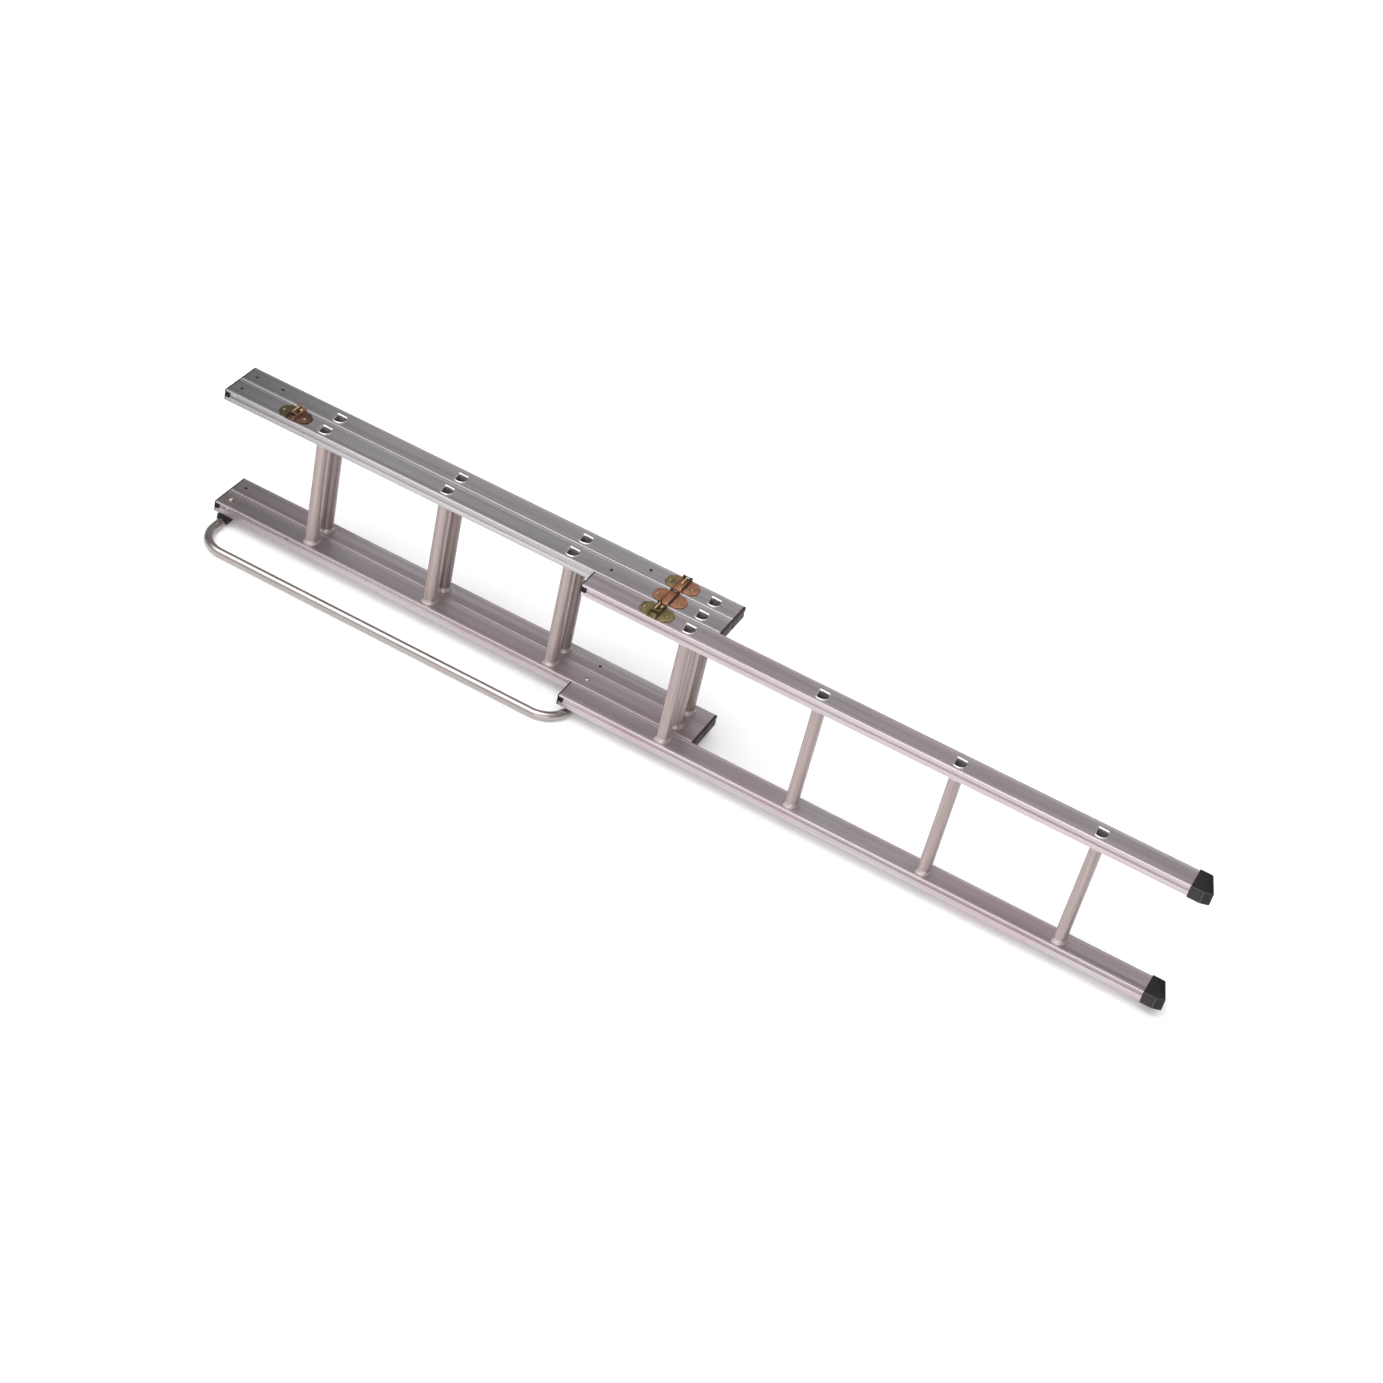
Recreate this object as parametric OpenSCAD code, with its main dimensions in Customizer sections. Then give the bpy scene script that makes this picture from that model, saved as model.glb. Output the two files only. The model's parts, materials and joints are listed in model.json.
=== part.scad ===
// Three-section sliding loft ladder with a tube handrail, lying on its left stiles.
// X runs along the ladder from the head to the feet, Y from the climber's side to the back,
// and Z across the ladder from the left stiles to the right stiles.
// The sections lie edge to edge: the lower section in front, then the middle, then the top one.

/* [Ladder] */
// Spacing of the rungs along the stiles
rung_pitch = 280; // [260:5:300]
// Clear width between the stiles
clear_w = 250; // [200:5:320]
// Stile above each section's first rung
head_len = 216; // [206:1:230]
// Stile below the last rung of the top and middle sections, with its end cap
tail_len = 55; // [45:1:80]
// Stile below the last rung of the lower section, up to its rubber boot
foot_len = 180; // [100:5:220]
// Rung spaces by which the lower section is drawn out as it lies
drawn_out = 3; // [1:1:3]

/* [Stiles] */
// Depth of a stile, from its front face to its back face
stile_d = 50; // [48:1:56]
// Thickness of a stile, from its inner face to its outer face
stile_t = 25; // [24:1:30]
// Wall of the stile's box section
stile_wall = 2; // [1.6:0.1:2.4]
// Gap between the stiles of neighbouring sections
section_gap = 1; // [0.8:0.1:1.4]
// Radius of the stile's long edges
stile_r = 1.5; // [1:0.5:4]

/* [Rungs] */
// Radius of the rung's rounded front
rung_r = 14.6; // [14:0.2:16]
// Wall of the rung
rung_wall = 1.8; // [1.4:0.1:2.2]
// Width of the flange swaged over at each end of the rung
rim_w = 2.6; // [1:0.1:2.6]

/* [Handrail] */
// Outer diameter of the handrail tube
rail_d = 19; // [16:0.5:22]
// Reach of the handrail, from the middle of the middle section's stile
rail_reach = 112; // [100:1:140]
// Radius of the handrail's bends
rail_bend = 57; // [45:1:60]
// Gap between the stile's outer face and the handrail tube
rail_gap = 5.5; // [5:0.5:10]

/* [Catches] */
// Travel of the locking slide
catch_travel = 14; // [10:0.5:14]
// Thickness of the catch plates
plate_t = 2; // [1.5:0.1:2.2]
// Distance from a catch's middle to the rung below it
catch_to_rung = 71; // [68:1:90]

/* [Hidden] */

$fn = 48;

RUNGS = 4;
rung_span = (RUNGS - 1) * rung_pitch;
section_step = stile_d + section_gap;
fit = 0.1;
running = 0.35;
eps = 0.5;

// Places of the three sections: first rung along X, stile mid-plane along Y
TOP = [0, section_step, 0];
MIDDLE = [0, 0, 0];
LOWER = [drawn_out * rung_pitch, -section_step, 0];

// Dovetail rail on the stile's front face and the groove in its back face
groove_z = stile_t / 2 - 1.5;
groove_mouth = 2.4;
groove_floor = 3.8;
groove_depth = 2.6;
groove_slope = (groove_floor - groove_mouth) / groove_depth;
rail_depth = groove_depth - running;
rail_root = groove_mouth - running;
rail_reach_y = section_gap + rail_depth;
// Raised bands along the edges of the wide faces, each with a fine line down its middle
band_w = 6;
recess = 0.4;
line_w = 0.8;
line_depth = 0.35;

// Black plastic at the stiles' ends
plug_lip = 3;
plug_core = 36;
plug_bolt_clear = 10;
notch_len = 11;
notch_depth = 5.5;
notch_drop = 3.5;
notch_h = 12.5;
cap_lip = 4.5;
cap_core = 14;
plug_rivet_x_right = 20;
plug_rivet_x_left = 28;
lip_hole_z = 5.2;
plug_rivet_d = 3.2;
plug_rivet_bore = 1.6;
plug_rivet_head_d = 5.2;
plug_rivet_head_h = 0.45;
plug_rivet_len = 9;
plug_rivet_floor = 2.5;
spare_hole_x = -44;
spare_hole_d = 4;
rivet_d = 4;
rivet_head_d = 8;
rivet_head_h = 1.2;

// Rubber boots
boot_lip = 1.5;
boot_len = 42;
boot_back = 25;
boot_cover = 8;
sole_angle = 70;
treads = 5;
tread_pitch = 8;
tread_w = 2.5;
tread_depth = 1.5;

// Rung section, measured from the rung's centre
rung_front = [-0.3, -1.4];
rung_back = 8.4;
rung_back_tilt = 4;
rung_tread = 10.3;
rung_tread_tilt = 8.5;
rim_h = 1.6;
rim_seat = stile_t - recess;
mouth_h = 1.2;
mouth_wall = 0.4;
collar_w = 4;
collar_h = 4.5;

// Bolt holes through the stiles
bolt_hole_d = 6.5;
head_hole_x = -196;
bracket_spacing = 61;
tail_hole_x = 702;
rail_bolt_span = rung_span;

// Catch fittings, measured from the fitting's middle
catch_rivet_x = 23.75;
catch_rivet_y = -3;
wall_in_left = -7.9;
wall_in_right = 9.1;
wall_t = 1.6;
wall_low = 5;
wall_high = 9.5;
wall_half = 22;
slide_play = 0.4;
slide_t = 2.4;
slide_rear = -8;
slide_front = 24;
tab_t = 2.2;
tab_top = 10;
stud_x = 4.2;
stud_y = 14;
stud_d = 5;
stud_head_d = 7;
stud_head_h = 1.4;
spring_x = -3;
spring_z = 7.5;
spring_d = 4.6;
spring_bore = 2.6;
ear_y = 20;
ear_past_spring = 2;
buffer_x = 0.6;
buffer_z = 5.1;
buffer_rear = -6;

// Handrail
rail_wall = 1.5;
rail_z = -stile_t - rail_gap - rail_d / 2;
rail_end_y = 12;
rail_head_x = head_hole_x;
rail_tail_x = head_hole_x + rail_bolt_span;
saddle_w = 25;
saddle_front = -28;
saddle_back = 18;
saddle_wrap = 3;
insert_proud = 0.5;
plug_button = 2.5;
rail_bolt_d = 6;
rail_bolt_head_d = 11;
rail_bolt_head_h = 3.2;
insert_d = 9;
insert_len = 12;

// Box of the whole ladder, and the shift that puts its origin under the middle
x_min = -head_len - plug_lip;
x_max = LOWER[0] + rung_span + foot_len + boot_len;
y_min = -rail_reach - rail_d / 2;
y_max = section_step + stile_d / 2;
z_min = rail_z - rail_d / 2;
origin = [-(x_min + x_max) / 2, -(y_min + y_max) / 2, -z_min];

// ---------- helpers ----------

module placed(section = [0, 0, 0]) {
    translate(origin + section) children();
}

// Puts a stile's own frame on the right side (inner face at clear_w) or mirrors it to the left
module on_side(side) {
    if (side == "right")
        translate([0, 0, clear_w]) children();
    else
        mirror([0, 0, 1]) children();
}

// Sweeps a Y-Z outline along X
module along_x(x0, x1) {
    translate([x0, 0, 0])
        rotate([90, 0, 90])
            linear_extrude(height = x1 - x0) children();
}

// Sweeps an X-Z outline along Y
module along_y(y0, y1) {
    translate([0, y1, 0])
        rotate([90, 0, 0])
            linear_extrude(height = y1 - y0) children();
}

module rounded_rect(x0, y0, x1, y1, r) {
    translate([x0 + r, y0]) square([x1 - x0 - 2 * r, y1 - y0]);
    translate([x0, y0 + r]) square([x1 - x0, y1 - y0 - 2 * r]);
    for (x = [x0 + r, x1 - r], y = [y0 + r, y1 - r])
        translate([x, y]) circle(r);
}

// ---------- stiles ----------

// Outline of the box section without its rail, shrunk by inset
module stile_box(inset = 0) {
    rounded_rect(-stile_d / 2 + inset, inset, stile_d / 2 - inset, stile_t - inset,
                 max(stile_r - inset, 0.6));
}

// Dovetail groove in the back face, made wider and deeper by grow
module groove(grow = 0) {
    y0 = stile_d / 2;
    mouth = groove_mouth + grow;
    floor_half = groove_mouth + groove_slope * groove_depth + grow;
    polygon([
        [y0 + eps, groove_z - mouth + groove_slope * eps],
        [y0 + eps, groove_z + mouth - groove_slope * eps],
        [y0 - groove_depth - grow, groove_z + floor_half],
        [y0 - groove_depth - grow, groove_z - floor_half]
    ]);
}

// Dovetail rail on the front face, which runs in the groove of the stile in front
module slide_rail() {
    y0 = -stile_d / 2;
    tip = rail_root + groove_slope * rail_depth;
    polygon([
        [y0 + stile_wall / 2, groove_z - rail_root],
        [y0 - section_gap, groove_z - rail_root],
        [y0 - rail_reach_y, groove_z - tip],
        [y0 - rail_reach_y, groove_z + tip],
        [y0 - section_gap, groove_z + rail_root],
        [y0 + stile_wall / 2, groove_z + rail_root]
    ]);
}

// What is cut from the wide faces: the field between the bands and a line in each band
module face_relief() {
    field = stile_d / 2 - band_w;
    line_y = stile_d / 2 - band_w / 2;
    for (z = [0, stile_t]) {
        translate([-field, z - recess]) square([2 * field, 2 * recess]);
        for (y = [-line_y, line_y])
            translate([y - line_w / 2, z - line_depth]) square([line_w, 2 * line_depth]);
    }
}

module stile_section() {
    difference() {
        union() {
            stile_box();
            slide_rail();
        }
        groove();
        difference() {
            stile_box(stile_wall);
            groove(stile_wall);
        }
        face_relief();
    }
}

// Rung outline, grown by grow: a round front cut by a flat back and a flat tread
module rung_outline(grow = 0) {
    reach = 2 * rung_r;
    intersection() {
        translate(rung_front) circle(rung_r + grow, $fn = 96);
        rotate(-rung_back_tilt)
            translate([-reach, rung_back + grow - 2 * reach]) square([2 * reach, 2 * reach]);
        rotate(rung_tread_tilt)
            translate([-rung_tread - grow, -reach]) square([2 * reach, 2 * reach]);
    }
}

module rung_holes() {
    for (i = [0 : RUNGS - 1])
        translate([i * rung_pitch, 0, -eps])
            linear_extrude(height = stile_t + 2 * eps) rung_outline(fit);
}

module cross_holes(places, y = 0, d = bolt_hole_d) {
    for (x = places)
        translate([x, y, -eps]) cylinder(d = d, h = stile_t + 2 * eps);
}

module outer_holes(places, y, d) {
    for (x = places)
        translate([x, y, stile_t - stile_wall - eps]) cylinder(d = d, h = stile_wall + 2 * eps);
}

// One stile: x_end is its lower end, holes are its bolt holes, fittings its catch middles
module stile(x_end, holes = [], fittings = []) {
    difference() {
        along_x(-head_len, x_end) stile_section();
        rung_holes();
        cross_holes(holes);
        // Rail cut back at the head
        translate([-head_len - eps, -stile_d / 2 - rail_reach_y - eps, -eps])
            cube([notch_len + eps, rail_reach_y + eps, stile_t + 2 * eps]);
        for (x = fittings)
            outer_holes([x - catch_rivet_x, x + catch_rivet_x], catch_rivet_y, rivet_d + fit);
    }
}

// Front lip where the head plug's rivet goes through, pointing into the stile. Both sides
// are drilled in the lip nearer to the right stile's outer face.
module at_plug_rivet(side) {
    x = side == "right" ? plug_rivet_x_right : plug_rivet_x_left;
    z = side == "right" ? clear_w + stile_t - lip_hole_z : -lip_hole_z;
    translate([x - head_len, -stile_d / 2, z]) rotate([-90, 0, 0]) children();
}

module plug_rivet_hole(side) {
    at_plug_rivet(side) translate([0, 0, -eps])
        cylinder(d = plug_rivet_d + fit, h = plug_rivet_len + 2 * eps);
}

// Lowest Z of the window in the front wall, which is nearer to the right stile's outer face
function notch_z(side) = side == "right" ? stile_t - notch_drop - notch_h : notch_drop;

// A stile on its own side, with the window for its plug's guide block and its rivet hole
module sided_stile(side, x_end, holes = [], fittings = []) {
    difference() {
        on_side(side) difference() {
            stile(x_end, holes, fittings);
            translate([-head_len - eps, -stile_d / 2 - eps, notch_z(side)])
                cube([notch_len + eps, notch_depth + eps, notch_h]);
        }
        plug_rivet_hole(side);
    }
}

section_end = rung_span + tail_len - cap_lip;
boot_x = rung_span + foot_len;
lower_end = boot_x + boot_cover;
head_catch_x = -catch_to_rung;
tail_catch_x = rung_span - catch_to_rung;
rail_holes = [head_hole_x, head_hole_x + rail_bolt_span];

module top_stile_left() {
    color("#8f8c90") placed(TOP) sided_stile("left", section_end, rail_holes);
}

module top_stile_right() {
    holes = [head_hole_x, head_hole_x + bracket_spacing, tail_hole_x];
    color("#8f8c90") placed(TOP) sided_stile("right", section_end, holes, [tail_catch_x]);
}

module middle_stile_left() {
    color("#969296") placed(MIDDLE) difference() {
        sided_stile("left", section_end, rail_holes);
        // Spare hole in the front lip
        translate([spare_hole_x, -stile_d / 2 - eps, -lip_hole_z])
            rotate([-90, 0, 0]) cylinder(d = spare_hole_d, h = stile_wall + 2 * eps);
    }
}

module middle_stile_right() {
    color("#969296") placed(MIDDLE)
        sided_stile("right", section_end, rail_holes, [head_catch_x, tail_catch_x]);
}

module lower_stile(side, fittings) {
    color("#9c979b") placed(LOWER) difference() {
        sided_stile(side, lower_end, [], fittings);
        // Rail cut back where the boot goes on
        on_side(side) translate([boot_x - fit, -stile_d / 2 - rail_reach_y - eps, -eps])
            cube([boot_cover + 2 * eps, rail_reach_y + eps, stile_t + 2 * eps]);
    }
}

module lower_stile_left() {
    lower_stile("left", []);
}

module lower_stile_right() {
    lower_stile("right", [head_catch_x]);
}

// ---------- rungs ----------

// Hollow rung: swaged flange on the outer faces, rolled collar on the inner faces
module rung(section, number) {
    color("#b9aeab") placed(section) translate([(number - 1) * rung_pitch, 0, 0])
        difference() {
            union() {
                translate([0, 0, -rim_seat - rim_h])
                    linear_extrude(height = clear_w + 2 * (rim_seat + rim_h)) rung_outline();
                for (z = [-rim_seat - rim_h, clear_w + rim_seat])
                    translate([0, 0, z]) linear_extrude(height = rim_h) rung_outline(rim_w);
                for (z = [0, clear_w - collar_h / 2])
                    translate([0, 0, z])
                        linear_extrude(height = collar_h / 2) rung_outline(collar_w);
                for (z = [0, clear_w - collar_h])
                    translate([0, 0, z])
                        linear_extrude(height = collar_h) rung_outline(collar_w / 2);
            }
            translate([0, 0, -rim_seat - rim_h - eps])
                linear_extrude(height = clear_w + 2 * (rim_seat + rim_h + eps))
                    rung_outline(-rung_wall);
            // Flared mouths
            for (z = [-rim_seat - rim_h - eps, clear_w + rim_seat + rim_h - mouth_h])
                translate([0, 0, z])
                    linear_extrude(height = mouth_h + eps) rung_outline(-mouth_wall);
        }
}

// ---------- plastic and rubber at the stiles' ends ----------

module core(x0, x1) {
    along_x(x0, x1) difference() {
        stile_box(stile_wall + fit);
        groove(stile_wall + fit);
    }
}

// Plug at the head: a lip over the end, a core inside and a guide block in the window
module head_plug(side) {
    x0 = -head_len;
    difference() {
        union() {
            along_x(x0 - plug_lip, x0) difference() {
                stile_box(fit);
                groove();
            }
            core(x0 - eps, x0 + plug_core);
            along_x(x0 - eps, x0 + notch_len - fit) intersection() {
                stile_box(fit);
                translate([-stile_d / 2, notch_z(side) + fit])
                    square([notch_depth - fit, notch_h - 2 * fit]);
            }
        }
        // Room for the bolt through the stile
        translate([head_hole_x, 0, -eps])
            cylinder(d = plug_bolt_clear, h = stile_t + 2 * eps);
    }
}

module head_plug_node(section, side) {
    color("#2c2a2c") placed(section) difference() {
        on_side(side) head_plug(side);
        plug_rivet_hole(side);
    }
}

module end_cap_node(section, side) {
    color("#2c2a2c") placed(section) on_side(side) union() {
        along_x(section_end, section_end + cap_lip) difference() {
            stile_box(fit);
            groove();
        }
        core(section_end - cap_core, section_end + eps);
    }
}

// Thin-headed hollow rivets through the front lips into the head plugs
module plug_rivets(section) {
    color("#a8a5a6") placed(section) for (side = ["left", "right"])
        at_plug_rivet(side) difference() {
            union() {
                translate([0, 0, -plug_rivet_head_h])
                    cylinder(d = plug_rivet_head_d, h = plug_rivet_head_h);
                cylinder(d = plug_rivet_d, h = plug_rivet_len);
            }
            translate([0, 0, -eps - plug_rivet_head_h])
                cylinder(d = plug_rivet_bore, h = plug_rivet_head_h + eps + plug_rivet_len - plug_rivet_floor);
        }
}

// Rubber boot over the stile's end, with a treaded sole cut for a leaning ladder
module foot(side) {
    x0 = boot_x;
    back_x = x0 + boot_back;
    tip_x = x0 + boot_len;
    half = stile_d / 2 + boot_lip;
    tip_y = half - (boot_len - boot_back) * tan(sole_angle);
    low = -boot_lip;
    high = stile_t + boot_lip;
    color("#242224") placed(LOWER) on_side(side) difference() {
        intersection() {
            along_x(x0, tip_x) rounded_rect(-half, low, half, high, stile_r);
            translate([0, 0, low]) linear_extrude(height = high - low) polygon([
                [x0, -half], [back_x, -half], [tip_x, tip_y], [back_x, half], [x0, half]
            ]);
        }
        // Pocket for the stile's end
        along_x(x0 - eps, lower_end) stile_box(-fit);
        translate([back_x, half, low - eps]) rotate(-sole_angle)
            for (i = [1 : treads])
                translate([i * tread_pitch - tread_w / 2, -tread_depth, 0])
                    cube([tread_w, tread_depth + eps, high - low + 2 * eps]);
    }
}

// ---------- catches ----------

module catch_outline() {
    polygon([
        [-32, -9], [-21, -20], [-9.5, -20], [-9.5, -24], [10.7, -24], [10.7, -20],
        [24, -20], [36, -9], [36, 8], [25, 19], [10.7, 19], [10.7, 24],
        [-9.5, 24], [-9.5, 19], [-21, 19], [-32, 8]
    ]);
}

// Pressed plate with a low and a high flange that make a channel across the stile
module catch_base() {
    difference() {
        union() {
            linear_extrude(height = plate_t) catch_outline();
            translate([wall_in_left - wall_t, -wall_half, 0])
                cube([wall_t, 2 * wall_half, wall_low]);
            translate([wall_in_right, -wall_half, 0]) cube([wall_t, 2 * wall_half, wall_high]);
        }
        for (x = [-catch_rivet_x, catch_rivet_x])
            translate([x, catch_rivet_y, -eps]) cylinder(d = rivet_d + fit, h = plate_t + 2 * eps);
    }
}

module at_catch(section, x) {
    placed(section) on_side("right") translate([x, 0, stile_t]) children();
}

module catch_plate(section) {
    ear_x1 = spring_x + ear_past_spring;
    ear_z0 = plate_t + slide_play + slide_t + slide_play;
    color("#8a7430") at_catch(section, head_catch_x) difference() {
        union() {
            catch_base();
            // Ear over the slide that the spring hooks to
            translate([wall_in_left - wall_t, ear_y, 0]) cube([wall_t, tab_t, tab_top]);
            translate([wall_in_left - wall_t, ear_y, ear_z0])
                cube([ear_x1 - wall_in_left + wall_t, tab_t, tab_top - ear_z0]);
        }
        translate([stud_x, stud_y, -eps]) cylinder(d = stud_d + fit, h = plate_t + 2 * eps);
    }
}

module keeper_plate(section) {
    stop_y = 20;
    stop_h = 8;
    slot_w = 7;
    slot_h = 2.4;
    slot_z = 4;
    color("#9a6a3c") at_catch(section, tail_catch_x) difference() {
        union() {
            catch_base();
            translate([wall_in_left - wall_t, stop_y, 0])
                cube([wall_in_right - wall_in_left + 2 * wall_t, wall_t, stop_h]);
        }
        translate([(wall_in_left + wall_in_right - slot_w) / 2, stop_y - eps, slot_z])
            cube([slot_w, wall_t + 2 * eps, slot_h]);
    }
}

// Locking slide with its thumb tab, and the slot that the stud guides it by
module catch_slide(section) {
    x0 = wall_in_left + slide_play;
    x1 = wall_in_right - slide_play;
    z0 = plate_t + slide_play;
    slot_d = stud_d + 2 * slide_play;
    color("#b08a45") at_catch(section, head_catch_x) difference() {
        union() {
            translate([x0, slide_rear, z0]) cube([x1 - x0, slide_front - slide_rear, slide_t]);
            translate([x0, slide_rear, z0]) cube([x1 - x0, tab_t, tab_top - z0]);
        }
        for (y = [stud_y - catch_travel, stud_y])
            translate([stud_x, y, z0 - eps]) cylinder(d = slot_d, h = slide_t + 2 * eps);
        translate([stud_x - slot_d / 2, stud_y - catch_travel, z0 - eps])
            cube([slot_d, catch_travel, slide_t + 2 * eps]);
    }
}

module catch_stud(section) {
    head_z = plate_t + slide_play + slide_t + slide_play;
    color("#c9b98c") at_catch(section, head_catch_x) translate([stud_x, stud_y, 0]) union() {
        cylinder(d = stud_d, h = head_z + eps);
        translate([0, 0, head_z]) cylinder(d = stud_head_d, h = stud_head_h);
    }
}

// Tension spring between the slide's tab and the plate's ear, drawn as a sleeve
module catch_spring(section) {
    y0 = slide_rear + tab_t + fit;
    color("#b8b4ae") at_catch(section, head_catch_x) translate([spring_x, y0, spring_z])
        rotate([-90, 0, 0]) difference() {
            cylinder(d = spring_d, h = ear_y - y0);
            translate([0, 0, -eps]) cylinder(d = spring_bore, h = ear_y - y0 + 2 * eps);
        }
}

// Buffer spring in the top section's keeper, which has no section behind it
module keeper_spring() {
    color("#b8904e") at_catch(TOP, tail_catch_x) translate([buffer_x, buffer_rear, buffer_z])
        rotate([-90, 0, 0]) difference() {
            cylinder(d = spring_d, h = ear_y - buffer_rear);
            translate([0, 0, -eps])
                cylinder(d = spring_bore, h = ear_y - buffer_rear + 2 * eps);
        }
}

module catch_rivets(section, x) {
    color("#b9b3a6") at_catch(section, x) for (side = [-1, 1])
        translate([side * catch_rivet_x, catch_rivet_y, -stile_wall]) union() {
            cylinder(d = rivet_d, h = stile_wall + plate_t + eps);
            translate([0, 0, stile_wall + plate_t]) cylinder(d = rivet_head_d, h = rivet_head_h);
        }
}

// ---------- handrail ----------

module tube_ring() {
    difference() {
        circle(d = rail_d);
        circle(d = rail_d - 2 * rail_wall);
    }
}

module rail_leg(x) {
    leg_front = -rail_reach + rail_bend;
    translate([x, rail_end_y, rail_z]) rotate([90, 0, 0])
        linear_extrude(height = rail_end_y - leg_front) tube_ring();
}

// Quarter bend at one end of the long run; turn is its start angle
module rail_elbow(x, turn) {
    translate([x, -rail_reach + rail_bend, rail_z]) rotate([0, 0, turn])
        rotate_extrude(angle = 90) translate([rail_bend, 0]) tube_ring();
}

module handrail_tube() {
    color("#a9a9b0") placed(MIDDLE) difference() {
        union() {
            rail_leg(rail_head_x);
            rail_leg(rail_tail_x);
            rail_elbow(rail_head_x + rail_bend, 180);
            rail_elbow(rail_tail_x - rail_bend, 270);
            translate([0, -rail_reach, rail_z])
                along_x(rail_head_x + rail_bend, rail_tail_x - rail_bend) tube_ring();
        }
        // Holes in the upper wall of the legs for the threaded inserts
        for (x = [rail_head_x, rail_tail_x])
            translate([x, 0, rail_z]) cylinder(d = insert_d + fit, h = rail_d);
    }
}

module handrail_plugs() {
    bore = rail_d - 2 * rail_wall - 2 * fit;
    color("#2c2a2c") placed(MIDDLE) for (x = [rail_head_x, rail_tail_x])
        translate([x, rail_end_y, rail_z]) rotate([90, 0, 0]) union() {
            translate([0, 0, -plug_button]) cylinder(d = rail_d - 2 * fit, h = plug_button);
            cylinder(d = bore, h = 2 * plug_button);
        }
}

// Saddle between the stile and the tube: flat above, hollowed to the tube below
module handrail_saddle(x) {
    top = -stile_t - fit / 2;
    bottom = rail_z - saddle_wrap;
    color("#2c2a2c") placed(MIDDLE) difference() {
        translate([x - saddle_w / 2, saddle_front, bottom])
            cube([saddle_w, saddle_back - saddle_front, top - bottom]);
        translate([x, 0, rail_z]) rotate([90, 0, 0])
            cylinder(d = rail_d + 2 * fit, h = 2 * saddle_w + stile_d, center = true);
        translate([x, 0, bottom]) cylinder(d = rail_bolt_d + 4 * fit, h = top - bottom + eps);
        translate([x, 0, rail_z])
            cylinder(d = insert_d + 4 * fit, h = rail_d / 2 + 2 * insert_proud);
    }
}

module handrail_bolts() {
    color("#b07a4a") placed(MIDDLE) for (x = [rail_head_x, rail_tail_x])
        translate([x, 0, 0]) union() {
            translate([0, 0, -recess]) cylinder(d = rail_bolt_head_d, h = rail_bolt_head_h);
            translate([0, 0, rail_z]) cylinder(d = rail_bolt_d, h = -rail_z + eps);
        }
}

module handrail_inserts() {
    top = rail_z + rail_d / 2 + insert_proud;
    color("#b7b2a0") placed(MIDDLE) for (x = [rail_head_x, rail_tail_x])
        translate([x, 0, top - insert_len]) difference() {
            cylinder(d = insert_d, h = insert_len);
            translate([0, 0, -eps]) cylinder(d = rail_bolt_d + fit, h = insert_len + 2 * eps);
        }
}

// ---------- one line per node ----------

top_stile_left();
top_stile_right();
rung(TOP, 1);  // top_rung_1
rung(TOP, 2);  // top_rung_2
rung(TOP, 3);  // top_rung_3
rung(TOP, 4);  // top_rung_4
head_plug_node(TOP, "left");  // top_head_plug_left
head_plug_node(TOP, "right");  // top_head_plug_right
end_cap_node(TOP, "left");  // top_end_cap_left
end_cap_node(TOP, "right");  // top_end_cap_right
plug_rivets(TOP);  // top_plug_rivets
keeper_plate(TOP);  // top_keeper_plate
catch_rivets(TOP, tail_catch_x);  // top_keeper_rivets
keeper_spring();  // top_keeper_spring

middle_stile_left();
middle_stile_right();
rung(MIDDLE, 1);  // middle_rung_1
rung(MIDDLE, 2);  // middle_rung_2
rung(MIDDLE, 3);  // middle_rung_3
rung(MIDDLE, 4);  // middle_rung_4
head_plug_node(MIDDLE, "left");  // middle_head_plug_left
head_plug_node(MIDDLE, "right");  // middle_head_plug_right
end_cap_node(MIDDLE, "left");  // middle_end_cap_left
end_cap_node(MIDDLE, "right");  // middle_end_cap_right
plug_rivets(MIDDLE);  // middle_plug_rivets
keeper_plate(MIDDLE);  // middle_keeper_plate
catch_rivets(MIDDLE, tail_catch_x);  // middle_keeper_rivets
catch_plate(MIDDLE);  // middle_catch_plate
catch_rivets(MIDDLE, head_catch_x);  // middle_catch_rivets
catch_stud(MIDDLE);  // middle_catch_stud
catch_spring(MIDDLE);  // middle_catch_spring
catch_slide(MIDDLE);  // middle_catch_slide

handrail_tube();
handrail_plugs();
handrail_saddle(rail_head_x);  // handrail_saddle_head
handrail_saddle(rail_tail_x);  // handrail_saddle_tail
handrail_bolts();
handrail_inserts();

lower_stile_left();
lower_stile_right();
rung(LOWER, 1);  // lower_rung_1
rung(LOWER, 2);  // lower_rung_2
rung(LOWER, 3);  // lower_rung_3
rung(LOWER, 4);  // lower_rung_4
head_plug_node(LOWER, "left");  // lower_head_plug_left
head_plug_node(LOWER, "right");  // lower_head_plug_right
foot("left");  // lower_foot_left
foot("right");  // lower_foot_right
plug_rivets(LOWER);  // lower_plug_rivets
catch_plate(LOWER);  // lower_catch_plate
catch_rivets(LOWER, head_catch_x);  // lower_catch_rivets
catch_stud(LOWER);  // lower_catch_stud
catch_spring(LOWER);  // lower_catch_spring
catch_slide(LOWER);  // lower_catch_slide
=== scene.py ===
import json
import math

import bmesh
import bpy
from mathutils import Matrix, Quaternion, Vector


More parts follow.
